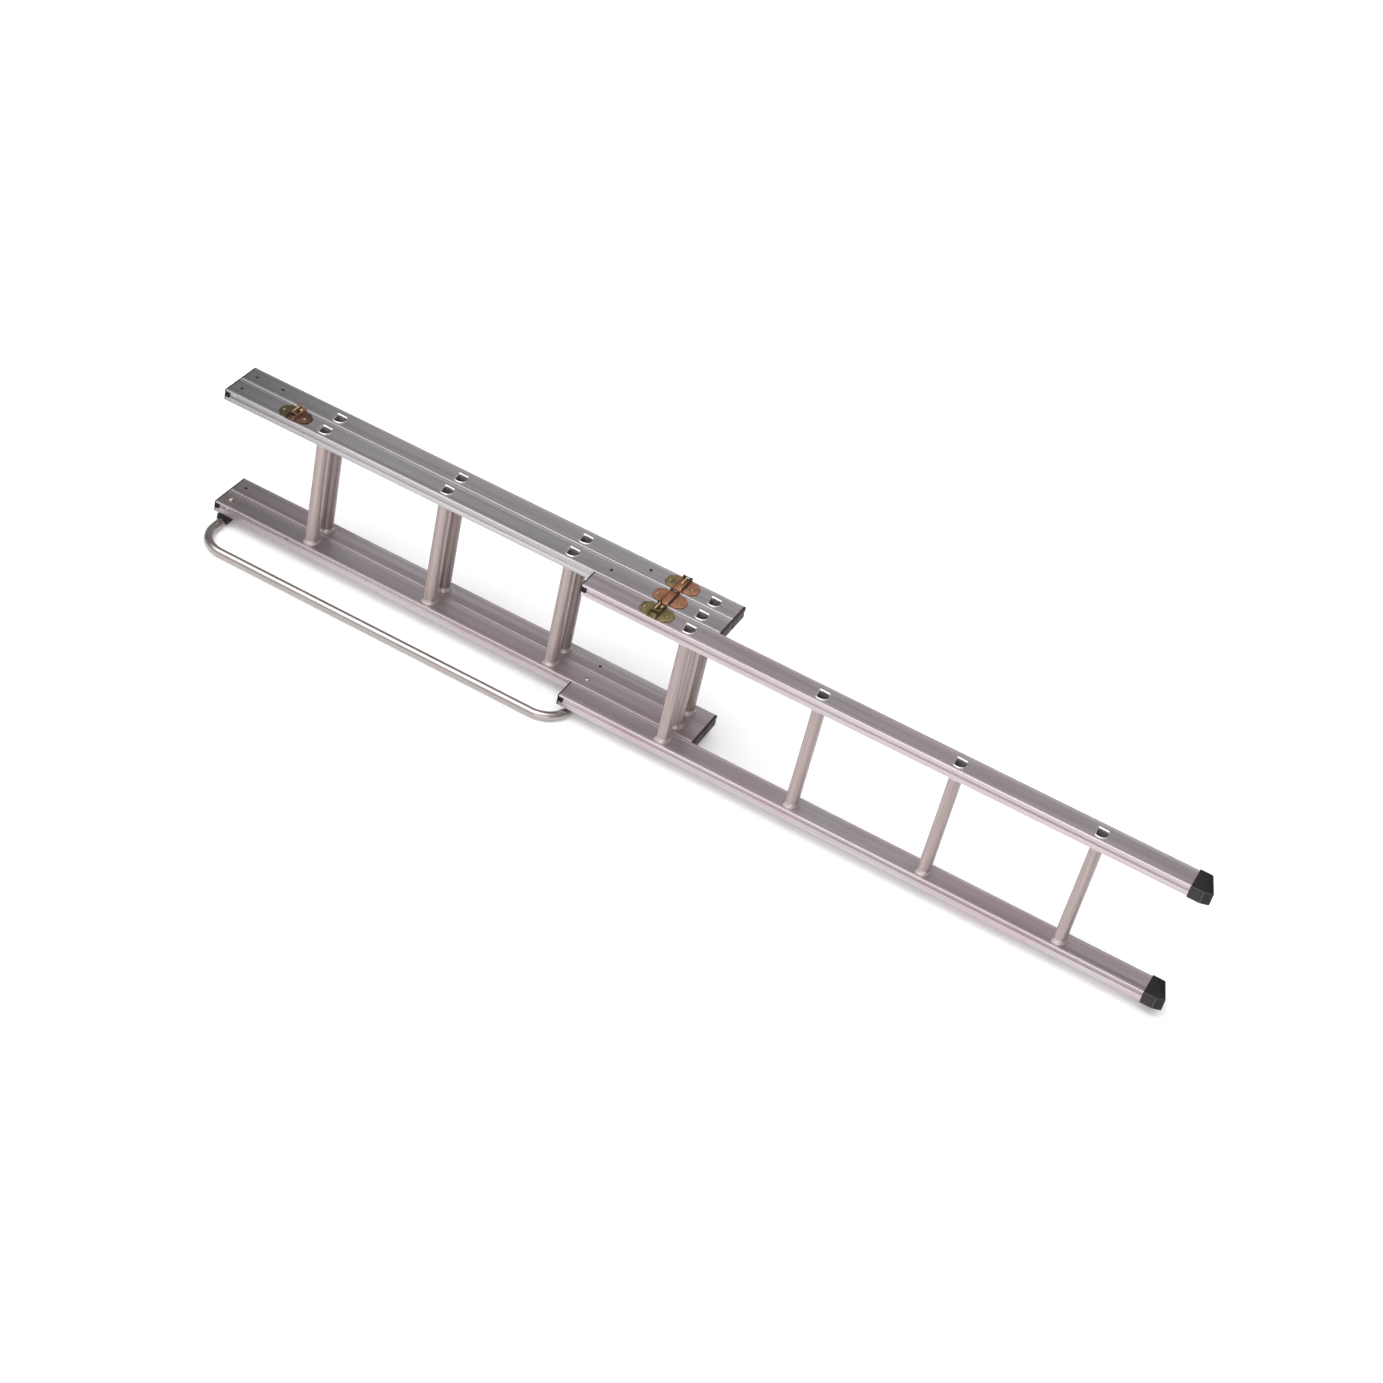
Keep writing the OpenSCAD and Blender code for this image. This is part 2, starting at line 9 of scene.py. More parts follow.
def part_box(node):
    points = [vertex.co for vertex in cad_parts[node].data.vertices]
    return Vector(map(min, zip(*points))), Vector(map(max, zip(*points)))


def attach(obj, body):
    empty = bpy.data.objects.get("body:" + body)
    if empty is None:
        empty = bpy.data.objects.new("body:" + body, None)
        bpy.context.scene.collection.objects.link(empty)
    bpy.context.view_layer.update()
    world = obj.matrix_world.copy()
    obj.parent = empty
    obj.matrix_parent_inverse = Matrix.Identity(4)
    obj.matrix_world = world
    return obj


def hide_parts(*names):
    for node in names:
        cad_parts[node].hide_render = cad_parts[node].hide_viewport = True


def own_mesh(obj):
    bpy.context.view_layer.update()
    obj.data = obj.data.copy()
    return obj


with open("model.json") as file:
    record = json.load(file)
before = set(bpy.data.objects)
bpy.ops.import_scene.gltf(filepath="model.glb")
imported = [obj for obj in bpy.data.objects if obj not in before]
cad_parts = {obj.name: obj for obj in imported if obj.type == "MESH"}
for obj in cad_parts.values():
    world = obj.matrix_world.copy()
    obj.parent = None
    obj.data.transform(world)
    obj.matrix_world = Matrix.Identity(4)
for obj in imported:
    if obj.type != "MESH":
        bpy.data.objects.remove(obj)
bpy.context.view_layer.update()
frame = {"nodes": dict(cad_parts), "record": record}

NODES = frame["nodes"]
SLOT_OF = {s["node"]: s["material_slot"] for s in frame["record"]["subparts"]}
BODY_OF = {n: b for b, members in frame["record"]["behaviour"]["bodies"].items() for n in members}
MM = 0.001

SECTIONS = ["top", "middle", "lower"]
SIDES = ["left", "right"]
RUNGS = 4


# ---------- places read from the frame ----------

def low(node):
    return Vector(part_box(node)[0])


def high(node):
    return Vector(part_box(node)[1])


def middle(node):
    return (low(node) + high(node)) / 2


# ---------- mesh building ----------

CORNER_STEPS = 5
SMOOTH_ANGLE = math.radians(32)
COIL_SMOOTH_ANGLE = math.radians(80)
# Where a prism's bevel turns, as a share of the bevel
SOFT_SHARE = 0.3
# Sharpest lean that inset follows at a corner, and the most of a side that a corner may take
LEAST_LEAN = 0.5
SIDE_SHARE = 0.48
# Radius of the near-point that closes a turned piece on its axis
ON_AXIS = 0.02


class Skin:
    """Rings of points, in millimetres about a place in the frame, skinned into one mesh.

    flip mirrors Z, for pieces on the left stiles."""

    def __init__(self, place, flip=False):
        self.place = Vector(place)
        self.z_sign = -1.0 if flip else 1.0
        self.points = []
        self.faces = []
        self.looks = []
        self.look = 0

    def ring(self, points):
        first = len(self.points)
        for x, y, z in points:
            self.points.append(self.place + Vector((x, y, z * self.z_sign)) * MM)
        return list(range(first, len(self.points)))

    def bridge(self, a, b):
        count = len(a)
        for i in range(count):
            j = (i + 1) % count
            self.face((a[i], a[j], b[j], b[i]))

    def face(self, corners):
        self.faces.append(corners)
        self.looks.append(self.look)

    def loft(self, rings, looped=False, looks=None):
        """Skins the rings in order; ends are closed, unless the rings loop back to the first.

        looks gives each gap between rings its material, the loop's closing gap last."""
        made = [self.ring(r) for r in rings]
        gaps = list(zip(made, made[1:]))
        if looped:
            gaps.append((made[-1], made[0]))
        for i, (a, b) in enumerate(gaps):
            if looks:
                self.look = looks[i]
            self.bridge(a, b)
        if looks:
            self.look = 0
        if not looped:
            self.face(tuple(reversed(made[0])))
            self.face(tuple(made[-1]))

    def prism(self, outline, low_z, high_z, bevel):
        """An X-Y outline between two heights, with rounded rims."""
        inner = inset(outline, bevel)
        soft = inset(outline, SOFT_SHARE * bevel)
        self.loft([at_z(inner, low_z), at_z(soft, low_z + SOFT_SHARE * bevel),
                   at_z(outline, low_z + bevel), at_z(outline, high_z - bevel),
                   at_z(soft, high_z - SOFT_SHARE * bevel), at_z(inner, high_z)])

    def bar_along_y(self, outline, low_y, high_y, bevel):
        """An X-Z outline between two Y places, with rounded rims."""
        inner = inset(outline, bevel)
        rings = [(inner, low_y), (outline, low_y + bevel),
                 (outline, high_y - bevel), (inner, high_y)]
        self.loft([[(x, y, z) for x, z in o] for o, y in rings])

    def lathe(self, centre, axis, profile, looped=False, segments=32):
        """Turns (radius, height) pairs about an axis through centre."""
        axis = Vector(axis)
        side = axis.orthogonal().normalized()
        other = axis.cross(side)
        self.loft([circle_at(Vector(centre) + axis * height, side, other, radius, segments)
                   for radius, height in profile], looped)

    def sweep(self, path, radius, segments, bore=None):
        """A round rod along path, or a tube where the radius of its bore is given."""
        frames = path_frames(path)
        outer = [circle_at(p, n, b, radius, segments) for p, n, b in frames]
        if bore is None:
            self.loft(outer)
            return
        inner = [circle_at(p, n, b, bore, segments) for p, n, b in reversed(frames)]
        self.loft(outer + inner, looped=True)

    def build(self, materials, *nodes, smooth=SMOOTH_ANGLE):
        """Makes the piece that stands for the CAD nodes, on their body, and hides the nodes."""
        name = nodes[0] + "_look"
        if not isinstance(materials, list):
            materials = [materials]
        mesh = bpy.data.meshes.new(name)
        bm = bmesh.new()
        verts = [bm.verts.new(p) for p in self.points]
        for corners, look in zip(self.faces, self.looks):
            bm.faces.new([verts[i] for i in corners]).material_index = look
        bmesh.ops.recalc_face_normals(bm, faces=bm.faces[:])
        bm.to_mesh(mesh)
        bm.free()
        mesh.shade_smooth()
        mesh.set_sharp_from_angle(angle=smooth)
        for material in materials:
            mesh.materials.append(material)
        piece = bpy.data.objects.new(name, mesh)
        bpy.context.scene.collection.objects.link(piece)
        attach(piece, BODY_OF[nodes[0]])
        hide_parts(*nodes)
        return piece


def at_z(outline, z):
    return [(x, y, z) for x, y in outline]


def area_sign(outline):
    total = 0.0
    for (x0, y0), (x1, y1) in zip(outline, outline[1:] + outline[:1]):
        total += x0 * y1 - x1 * y0
    return 1.0 if total > 0 else -1.0


def inset(outline, amount):
    """The outline moved inwards by amount, corner by corner."""
    sign = area_sign(outline)
    moved = []
    count = len(outline)
    for i in range(count):
        here = Vector(outline[i])
        before = (here - Vector(outline[i - 1])).normalized()
        after = (Vector(outline[(i + 1) % count]) - here).normalized()
        normal = Vector((-before.y - after.y, before.x + after.x)) * sign
        if normal.length < 1e-6:
            moved.append(tuple(here))
            continue
        normal.normalize()
        lean = max(normal.dot(Vector((-before.y, before.x)) * sign), LEAST_LEAN)
        moved.append(tuple(here + normal * (amount / lean)))
    return moved


def rounded(outline, radius, steps=CORNER_STEPS):
    """The outline with every corner rounded; radius is one number or one for each corner."""
    out = []
    count = len(outline)
    for i in range(count):
        here = Vector(outline[i])
        before = Vector(outline[i - 1])
        after = Vector(outline[(i + 1) % count])
        r = radius[i] if isinstance(radius, (list, tuple)) else radius
        to_before = before - here
        to_after = after - here
        angle = to_before.angle(to_after)
        reach = min(r / math.tan(angle / 2), SIDE_SHARE * to_before.length,
                    SIDE_SHARE * to_after.length)
        start = here + to_before.normalized() * reach
        end = here + to_after.normalized() * reach
        for k in range(steps + 1):
            t = k / steps
            point = start * (1 - t) ** 2 + here * 2 * t * (1 - t) + end * t ** 2
            out.append(tuple(point))
    return out


def rectangle(x0, y0, x1, y1):
    return [(x0, y0), (x1, y0), (x1, y1), (x0, y1)]


def path_frames(path):
    """Each point of a path with two directions across it that don't twist."""
    points = [Vector(p) for p in path]
    frames = []
    normal = None
    for i, p in enumerate(points):
        ahead = points[min(i + 1, len(points) - 1)] - points[max(i - 1, 0)]
        ahead.normalize()
        if normal is None:
            normal = ahead.orthogonal().normalized()
        normal = (normal - ahead * normal.dot(ahead)).normalized()
        frames.append((p, normal, ahead.cross(normal)))
    return frames


def circle_at(place, normal, other, radius, segments):
    turns = [2 * math.pi * i / segments for i in range(segments)]
    return [tuple(place + (normal * math.cos(t) + other * math.sin(t)) * radius)
            for t in turns]


# ---------- rungs ----------

RUNG_CIRCLE = Vector((-0.3, -1.4))
RUNG_RADIUS = 14.6
RUNG_BACK = (Vector((math.sin(math.radians(4)), math.cos(math.radians(4)))), 8.4)
RUNG_TREAD = (Vector((-math.cos(math.radians(8.5)), -math.sin(math.radians(8.5)))), 10.3)
RUNG_COLLAR = 4.0
RUNG_LIP_HEIGHT = 26.2
CLEAR_WIDTH = 250.0
RUNG_CORNER = 3.2
RUNG_FRONT_STEPS = 44
TUBE_LOOK, BORE_LOOK, LIP_LOOK, COLLAR_LOOK = 0, 1, 2, 3


def line_circle(line, centre, radius, forward):
    """Where a line (normal, distance) meets a circle, on the side that forward points to."""
    normal, distance = line
    offset = distance - normal.dot(centre)
    along = Vector((normal.y, -normal.x))
    half = math.sqrt(max(radius * radius - offset * offset, 0.0))
    if along.dot(forward) < 0:
        along = -along
    return centre + normal * offset + along * half


def line_line(a, b):
    (na, da), (nb, db) = a, b
    det = na.x * nb.y - na.y * nb.x
    return Vector(((da * nb.y - db * na.y) / det, (na.x * db - nb.x * da) / det))


def corner_arc(place, first, last, radius, steps):
    """An arc about place from one direction to another, the short way round."""
    start = math.atan2(first.y, first.x)
    turn = (math.atan2(last.y, last.x) - start + math.pi) % (2 * math.pi) - math.pi
    return [(place.x + radius * math.cos(start + turn * k / steps),
             place.y + radius * math.sin(start + turn * k / steps)) for k in range(steps + 1)]


def rung_outline(grow):
    """The rung's section grown by grow: a round front, a flat back and a flat tread."""
    corner = RUNG_CORNER
    radius = RUNG_RADIUS + grow - corner
    back = (RUNG_BACK[0], RUNG_BACK[1] + grow - corner)
    tread = (RUNG_TREAD[0], RUNG_TREAD[1] + grow - corner)
    foot_side = line_circle(back, RUNG_CIRCLE, radius, Vector((1, 0)))
    head_side = line_circle(tread, RUNG_CIRCLE, radius, Vector((0, -1)))
    rear = line_line(back, tread)
    first = (foot_side - RUNG_CIRCLE).normalized()
    last = (head_side - RUNG_CIRCLE).normalized()
    start = math.atan2(first.y, first.x)
    sweep = (math.atan2(last.y, last.x) - start) % (2 * math.pi) - 2 * math.pi
    front = [start + sweep * k / RUNG_FRONT_STEPS for k in range(RUNG_FRONT_STEPS + 1)]
    points = [(RUNG_CIRCLE.x + (radius + corner) * math.cos(t),
               RUNG_CIRCLE.y + (radius + corner) * math.sin(t)) for t in front]
    points += corner_arc(head_side, last, tread[0], corner, CORNER_STEPS)[1:]
    points += corner_arc(rear, tread[0], back[0], corner, CORNER_STEPS)
    points += corner_arc(foot_side, back[0], first, corner, CORNER_STEPS)[:-1]
    return points


# Each look of a gap, and the (grow, height) of the rings before such a gap: from the bore,
# over the swaged lip, through the stile and over the collar
RUNG_END = (
    (BORE_LOOK, ((-1.8, -14.0),)),
    (LIP_LOOK, ((-1.75, -22.6), (-1.45, -24.2), (-0.9, -25.2), (-0.2, -25.9), (0.4, -26.2),
                (1.1, -26.1), (1.7, -25.7), (2.1, -25.2), (2.2, -24.65))),
    (TUBE_LOOK, ((0.0, -24.6),)),
    (COLLAR_LOOK, ((0.0, -0.35), (4.0, -0.35), (4.0, 1.2), (3.85, 2.1), (3.4, 3.0), (2.7, 3.8),
                   (1.8, 4.7), (1.0, 5.9), (0.4, 7.4))),
    (TUBE_LOOK, ((0.0, 9.5),)))


def make_rungs():
    near = [place for _, places in RUNG_END for place in places]
    near_looks = [look for look, places in RUNG_END for _ in places]
    path = near + [(g, CLEAR_WIDTH - z) for g, z in reversed(near)]
    looks = near_looks + near_looks[-2::-1] + [BORE_LOOK]
    for section in SECTIONS:
        metals = [MATERIALS[section + "_rung"], MATERIALS["rung_bore"],
                  MATERIALS["rung_lip"], MATERIALS["rung_collar"]]
        for number in range(1, RUNGS + 1):
            node = f"{section}_rung_{number}"
            lowest, highest = low(node), high(node)
            place = Vector((
                highest.x - (RUNG_CIRCLE.x + RUNG_RADIUS + RUNG_COLLAR) * MM,
                lowest.y - (RUNG_CIRCLE.y - RUNG_RADIUS - RUNG_COLLAR) * MM,
                lowest.z + RUNG_LIP_HEIGHT * MM))
            skin = Skin(place)
            skin.loft([at_z(rung_outline(g), z) for g, z in path], looped=True, looks=looks)
            skin.build(metals, node)


# ---------- plastic and rubber at the stiles' ends ----------

STILE_DEPTH = 50.0
STILE_THICKNESS = 25.0
STILE_WALL = 2.0
STILE_CORNER = 1.5
GROOVE_Z = 11.0
GROOVE_MOUTH = 2.4
GROOVE_FLOOR = 3.8
GROOVE_DEPTH = 2.6
FIT = 0.1
LEAST_CORNER = 0.8
# (depth, shrink) of the rings that round a plug's outer rim
END_ROUNDING = ((0.0, 1.0), (0.15, 0.5), (0.7, 0.0))
LIP_BREAK = 0.3
LIP_STEP = 0.02
CORE_LEAD = 1.2
PLUG_LIP = 3.0
PLUG_LENGTH = 39.0
CAP_CORE = 14.0
CAP_LENGTH = 18.5


def sided(node, side, height):
    """Whether the node is on the left, and the Z of its stile's inner face.

    height is how far outside that face the node's own inner face is."""
    flip = side == "left"
    z = high(node).z + height * MM if flip else low(node).z - height * MM
    return flip, z


def stile_ring(x, shrink):
    """The stile's outline with the dovetail groove in its back, shrunk on all sides."""
    half = STILE_DEPTH / 2 - shrink
    outline = rounded(rectangle(-half, shrink, half, STILE_THICKNESS - shrink),
                      max(STILE_CORNER - 0.5 * shrink, LEAST_CORNER))
    mouth, floor = GROOVE_MOUTH + shrink, GROOVE_FLOOR + shrink
    groove = [(half, GROOVE_Z - mouth), (half - GROOVE_DEPTH, GROOVE_Z - floor),
              (half - GROOVE_DEPTH, GROOVE_Z + floor), (half, GROOVE_Z + mouth)]
    back = len(outline) // 2
    return [(x, y, z) for y, z in [*outline[:back], *groove, *outline[back:]]]


def make_end(node, side, outer_x, lip_x, core_x):
    """A plug: a lip over the stile's end from outer_x to lip_x and a core up to core_x."""
    flip, z = sided(node, side, FIT)
    place = Vector((low(node).x, middle(node).y, z))
    skin = Skin(place, flip)
    inward = 1.0 if core_x > outer_x else -1.0
    core = STILE_WALL + FIT
    rim = [stile_ring(outer_x + depth * inward, FIT + shrink) for depth, shrink in END_ROUNDING]
    skin.loft(rim + [
        stile_ring(lip_x - LIP_BREAK * inward, FIT), stile_ring(lip_x, FIT + LIP_BREAK),
        stile_ring(lip_x + LIP_STEP * inward, core),
        stile_ring(core_x - CORE_LEAD * inward, core), stile_ring(core_x, core + CORE_LEAD)])
    return skin


WINDOW_DROP = 3.5
WINDOW_HEIGHT = 12.5
WINDOW_START = 2.9
WINDOW_END = 13.9
FLOOR_SINK = 1.4
FLOOR_DEPTH = 4.0
RIB_START = 6.4
RIB_END = 8.2
LEDGE_HEIGHT = 1.4
LEDGE_SINK = 0.2
RIB_DEPTH = 3.0
# (depth, shrink as a share of the edge) of the rings that round a block's front
BLOCK_ROUNDING = ((0.0, 0.6), (0.2, 0.2), (0.6, 0.0))


def add_block(skin, z0, z1, x0, x1, front, depth, edge):
    """A rounded block from front to depth behind it."""
    outline = rounded(rectangle(z0, x0, z1, x1), edge)
    rings = [inset(outline, shrink * edge) for _, shrink in BLOCK_ROUNDING] + [outline]
    levels = [front + d for d, _ in BLOCK_ROUNDING] + [front + depth]
    skin.loft([[(x, y, z) for z, x in ring] for ring, y in zip(rings, levels)])


def add_guide_block(skin, side):
    """The block in the stile's front window: a sunk floor, a rib across it and a ledge."""
    front = -STILE_DEPTH / 2 + FIT
    z0 = STILE_THICKNESS - WINDOW_DROP - WINDOW_HEIGHT if side == "right" else WINDOW_DROP
    z0, z1 = z0 + FIT, z0 + WINDOW_HEIGHT - FIT
    add_block(skin, z0, z1, WINDOW_START, WINDOW_END, front + FLOOR_SINK, FLOOR_DEPTH, 0.6)
    add_block(skin, z0, z1, RIB_START, RIB_END, front, RIB_DEPTH, 0.5)
    add_block(skin, z0, z0 + LEDGE_HEIGHT, WINDOW_START, WINDOW_END,
              front + LEDGE_SINK, RIB_DEPTH, 0.4)


def make_head_plugs():
    for section in SECTIONS:
        for side in SIDES:
            node = f"{section}_head_plug_{side}"
            skin = make_end(node, side, 0.0, PLUG_LIP, PLUG_LENGTH)
            add_guide_block(skin, side)
            skin.build(MATERIALS["black_plastic"], node)


def make_end_caps():
    for section in ("top", "middle"):
        for side in SIDES:
            node = f"{section}_end_cap_{side}"
            skin = make_end(node, side, CAP_LENGTH, CAP_CORE, 0.0)
            skin.build(MATERIALS["cap_plastic"], node)


BOOT_BACK = 25.0
BOOT_LIP = 1.5
SOLE_ANGLE = math.radians(70)
TREADS = 5
TREAD_PITCH = 8.0
TREAD_WIDTH = 2.5
TREAD_DEPTH = 1.5
TREAD_TAPER = 0.3
HEEL_CUT = 2.0
TIP_CUT = 1.6
NOSE_CUT = 1.2
# (height, shrink) of the rings that round the boot's rims
BOOT_ROUNDING = ((0.0, 0.9), (0.25, 0.35), (0.9, 0.0))
# The boot's rims and the nose's edge take a paler rubber: a painted highlight along its edges
RUBBER_LOOK, EDGE_HIGHLIGHT_LOOK, PANEL_LOOK = 0, 1, 2


def boot_outline(length):
    """The boot seen along Z: a sole cut for a leaning ladder, with grooves across it."""
    half = STILE_DEPTH / 2 + BOOT_LIP
    heel = Vector((BOOT_BACK, half))
    along = Vector((math.cos(SOLE_ANGLE), -math.sin(SOLE_ANGLE)))
    inward = Vector((-math.sin(SOLE_ANGLE), -math.cos(SOLE_ANGLE)))
    reach = (length - BOOT_BACK) / math.cos(SOLE_ANGLE)
    points = [(0.0, half), (BOOT_BACK - HEEL_CUT, half), tuple(heel + along * HEEL_CUT)]
    for k in range(1, TREADS + 1):
        near = heel + along * (k * TREAD_PITCH - TREAD_WIDTH / 2)
        far = heel + along * (k * TREAD_PITCH + TREAD_WIDTH / 2)
        points += [tuple(near), tuple(near + inward * TREAD_DEPTH + along * TREAD_TAPER),
                   tuple(far + inward * TREAD_DEPTH - along * TREAD_TAPER), tuple(far)]
    tip = heel + along * reach
    nose = Vector((BOOT_BACK, -half))
    points += [tuple(tip - along * TIP_CUT), tuple(tip + (nose - tip).normalized() * TIP_CUT)]
    points += [tuple(nose + (tip - nose).normalized() * NOSE_CUT),
               (BOOT_BACK - NOSE_CUT, -half), (0.0, -half)]
    return points


def make_boots():
    low_z = -BOOT_LIP
    high_z = STILE_THICKNESS + BOOT_LIP
    levels = [(low_z + rise, shrink) for rise, shrink in BOOT_ROUNDING]
    levels += [(high_z - rise, shrink) for rise, shrink in reversed(BOOT_ROUNDING)]
    for side in SIDES:
        node = f"lower_foot_{side}"
        flip, z = sided(node, side, -BOOT_LIP)
        length = (high(node).x - low(node).x) / MM
        skin = Skin(Vector((low(node).x, middle(node).y, z)), flip)
        outline = boot_outline(length)
        skin.loft([at_z(inset(outline, shrink), height) for height, shrink in levels],
                  looks=[EDGE_HIGHLIGHT_LOOK, EDGE_HIGHLIGHT_LOOK, RUBBER_LOOK, EDGE_HIGHLIGHT_LOOK, EDGE_HIGHLIGHT_LOOK])
        # The walls are the third gap between rings; the nose's edge and the front panel
        # are the last sides of the outline before its open one
        open_side = 3 * len(outline) - 1
        # The nose's edge gets the painted highlight too
        skin.looks[open_side - 2] = EDGE_HIGHLIGHT_LOOK
        skin.looks[open_side - 1] = PANEL_LOOK
        skin.build([MATERIALS["black_rubber"], MATERIALS["rubber_edge_highlight"],
                    MATERIALS["rubber_panel"]], node)


# ---------- catches ----------

PLATE = 2.0
CATCH_LEFT = 32
CATCH_REAR = 24
CATCH_OUTLINE = [
    (-32, -9), (-21, -20), (-9.5, -20), (-9.5, -24), (10.7, -24), (10.7, -20), (24, -20),
    (36, -9), (36, 8), (25, 19), (10.7, 19), (10.7, 24), (-9.5, 24), (-9.5, 19), (-21, 19),
    (-32, 8)]
CATCH_ROUNDING = 0.4
SHEET_LOOK, FLANGE_LOOK = 0, 1
CHANNEL_LEFT = -7.9
CHANNEL_RIGHT = 9.1
WALL = 1.6
WALL_LEFT = CHANNEL_LEFT - WALL
WALL_RIGHT = CHANNEL_RIGHT + WALL
WALL_HALF = 22.0
LOW_WALL = 5.0
HIGH_WALL = 9.5
TAB_TOP = 10.0
TAB = 2.2
EAR_Y = 20.0
EAR_LOW = 5.3
EAR_RIGHT = -1.0
# (x0, z0, x1, z1, corner) of the bars round the opening at the far end of a keeper's channel
KEEPER_BARS = (
    (WALL_LEFT, 0.4, WALL_RIGHT, 4.0, 0.4), (WALL_LEFT, 6.4, WALL_RIGHT, 8.0, 0.5),
    (WALL_LEFT, 3.8, -2.9, 6.6, 0.3), (4.1, 3.8, WALL_RIGHT, 6.6, 0.3))


def catch_place(plate):
    """The middle of a catch's channel, on the face its plate lies on."""
    corner = low(plate)
    return Vector((corner.x + CATCH_LEFT * MM, corner.y + CATCH_REAR * MM, corner.z))


def flange_outline(x0, x1, height, bend):
    """A bent-up flange seen along Y: rounded top and a fillet where it leaves the plate."""
    outer, inner = (x0, x1) if bend > 0 else (x1, x0)
    return [(outer, 0.4), (outer, height - 0.7), (outer + 0.5 * bend, height - 0.15),
            ((outer + inner) / 2, height), (inner - 0.5 * bend, height - 0.15),
            (inner, height - 0.7), (inner, PLATE + 1.4), (inner + 0.35 * bend, PLATE + 0.6),
            (inner + 1.3 * bend, PLATE - 0.02), (inner + 1.3 * bend, 0.4)]


def add_bar(skin, x0, z0, x1, z1, corner, start, end, bevel):
    """A bar along Y with a rounded rectangle as its section."""
    skin.bar_along_y(rounded(rectangle(x0, z0, x1, z1), corner), start, end, bevel)


def add_plate(skin):
    """The pressed plate, with the channel's low wall on the left and high one on the right."""
    skin.look = SHEET_LOOK
    skin.prism(rounded(CATCH_OUTLINE, CATCH_ROUNDING, 3), 0.0, PLATE, 0.35)
    skin.bar_along_y(flange_outline(WALL_LEFT, CHANNEL_LEFT, LOW_WALL, 1),
                     -WALL_HALF, WALL_HALF, 0.3)
    skin.look = FLANGE_LOOK
    skin.bar_along_y(flange_outline(CHANNEL_RIGHT, WALL_RIGHT, HIGH_WALL, -1),
                     -WALL_HALF, WALL_HALF, 0.3)


def make_catch_plate(section):
    node = f"{section}_catch_plate"
    skin = Skin(catch_place(node))
    add_plate(skin)
    add_bar(skin, WALL_LEFT, 0.3, CHANNEL_LEFT, TAB_TOP, 0.5, EAR_Y, EAR_Y + TAB, 0.3)
    add_bar(skin, WALL_LEFT, EAR_LOW, EAR_RIGHT, TAB_TOP, 1.4, EAR_Y, EAR_Y + TAB, 0.35)
    skin.build([MATERIALS[node], MATERIALS[section + "_flange"]], node)


def make_keeper_plate(section):
    node = f"{section}_keeper_plate"
    skin = Skin(catch_place(node))
    add_plate(skin)
    for x0, z0, x1, z1, corner in KEEPER_BARS:
        add_bar(skin, x0, z0, x1, z1, corner, EAR_Y, EAR_Y + WALL, 0.25)
    skin.build([MATERIALS[node], MATERIALS["lower_flange"]], node)


SLIDE_LOW = 2.4
SLIDE_TOP = 4.8
SLIDE_REAR = -8.0
SLIDE_FRONT = 24.0
SLIDE_GAP = 0.4
SLOT_HALF = 2.9
STUD = Vector((4.2, 14.0))
STUD_SEAT = 5.2
SLIDE_RIBS = (-4.9, -2.9, -0.9)
RIB_WIDTH = 1.1
RIB_HEIGHT = 0.3


def make_slide(section):
    node = f"{section}_catch_slide"
    place = catch_place(f"{section}_catch_plate")
    skin = Skin(place)
    x0, x1 = CHANNEL_LEFT + SLIDE_GAP, CHANNEL_RIGHT - SLIDE_GAP
    slot = rounded(rectangle(STUD.x - SLOT_HALF, -SLOT_HALF,
                             STUD.x + SLOT_HALF, STUD.y + SLOT_HALF), 2.8, 6)
    outer = rounded(rectangle(x0, SLIDE_REAR, x1, SLIDE_FRONT), 1.2, 6)
    skin.loft([at_z(inset(outer, 0.4), SLIDE_LOW), at_z(outer, SLIDE_LOW + 0.4),
               at_z(outer, SLIDE_TOP - 0.5), at_z(inset(outer, 0.5), SLIDE_TOP),
               at_z(inset(slot, -0.35), SLIDE_TOP), at_z(slot, SLIDE_TOP - 0.4),
               at_z(slot, SLIDE_LOW)], looped=True)
    add_bar(skin, x0, SLIDE_LOW, x1, TAB_TOP, 1.6, SLIDE_REAR, SLIDE_REAR + TAB, 0.4)
    for x in SLIDE_RIBS:
        add_bar(skin, x, SLIDE_TOP - 0.2, x + RIB_WIDTH, SLIDE_TOP + RIB_HEIGHT, 0.2,
                SLIDE_REAR + TAB - 0.1, SLIDE_FRONT - 2.0, 0.25)
    skin.build(MATERIALS[section + "_slide"], node)


RIVET_X = 23.75
RIVET_Y = -3.0
RIVET_DEPTH = -2.0
DOME_STEPS = 6


def dome(radius, height, base, dimple=0.0):
    """Profile of a domed head standing on base, with an optional dimple in its middle."""
    rim = 0.35 * height
    inner = dimple * 1.4
    profile = [(radius, base), (radius, base + rim)]
    for k in range(1, DOME_STEPS + 1):
        t = k / DOME_STEPS * math.pi / 2
        profile.append((inner + (radius - inner) * math.cos(t),
                        base + rim + (height - rim) * math.sin(t)))
    if dimple:
        profile += [(dimple, base + height - 0.05), (dimple * 0.9, base + 0.55 * height),
                    (dimple * 0.5, base + 0.5 * height), (dimple * 0.3, base + 0.62 * height)]
    profile.append((ON_AXIS, profile[-1][1]))
    return profile


def make_catch_rivets(section, kind):
    plate = f"{section}_{kind}_plate"
    node = f"{section}_{kind}_rivets"
    skin = Skin(catch_place(plate))
    shank = [(ON_AXIS, RIVET_DEPTH), (1.9, RIVET_DEPTH), (2.0, RIVET_DEPTH + 0.2), (2.0, PLATE)]
    for x in (-RIVET_X, RIVET_X):
        skin.look = 0
        skin.lathe((x, RIVET_Y, 0.0), (0, 0, 1), shank + dome(4.0, 1.0, PLATE, 1.5))
        skin.look = 1
        skin.lathe((x, RIVET_Y, 0.0), (0, 0, 1), dome(1.45, 1.0, PLATE + 0.2))
    skin.build([MATERIALS["rivet_head"], MATERIALS["catch_rivet"]], node)


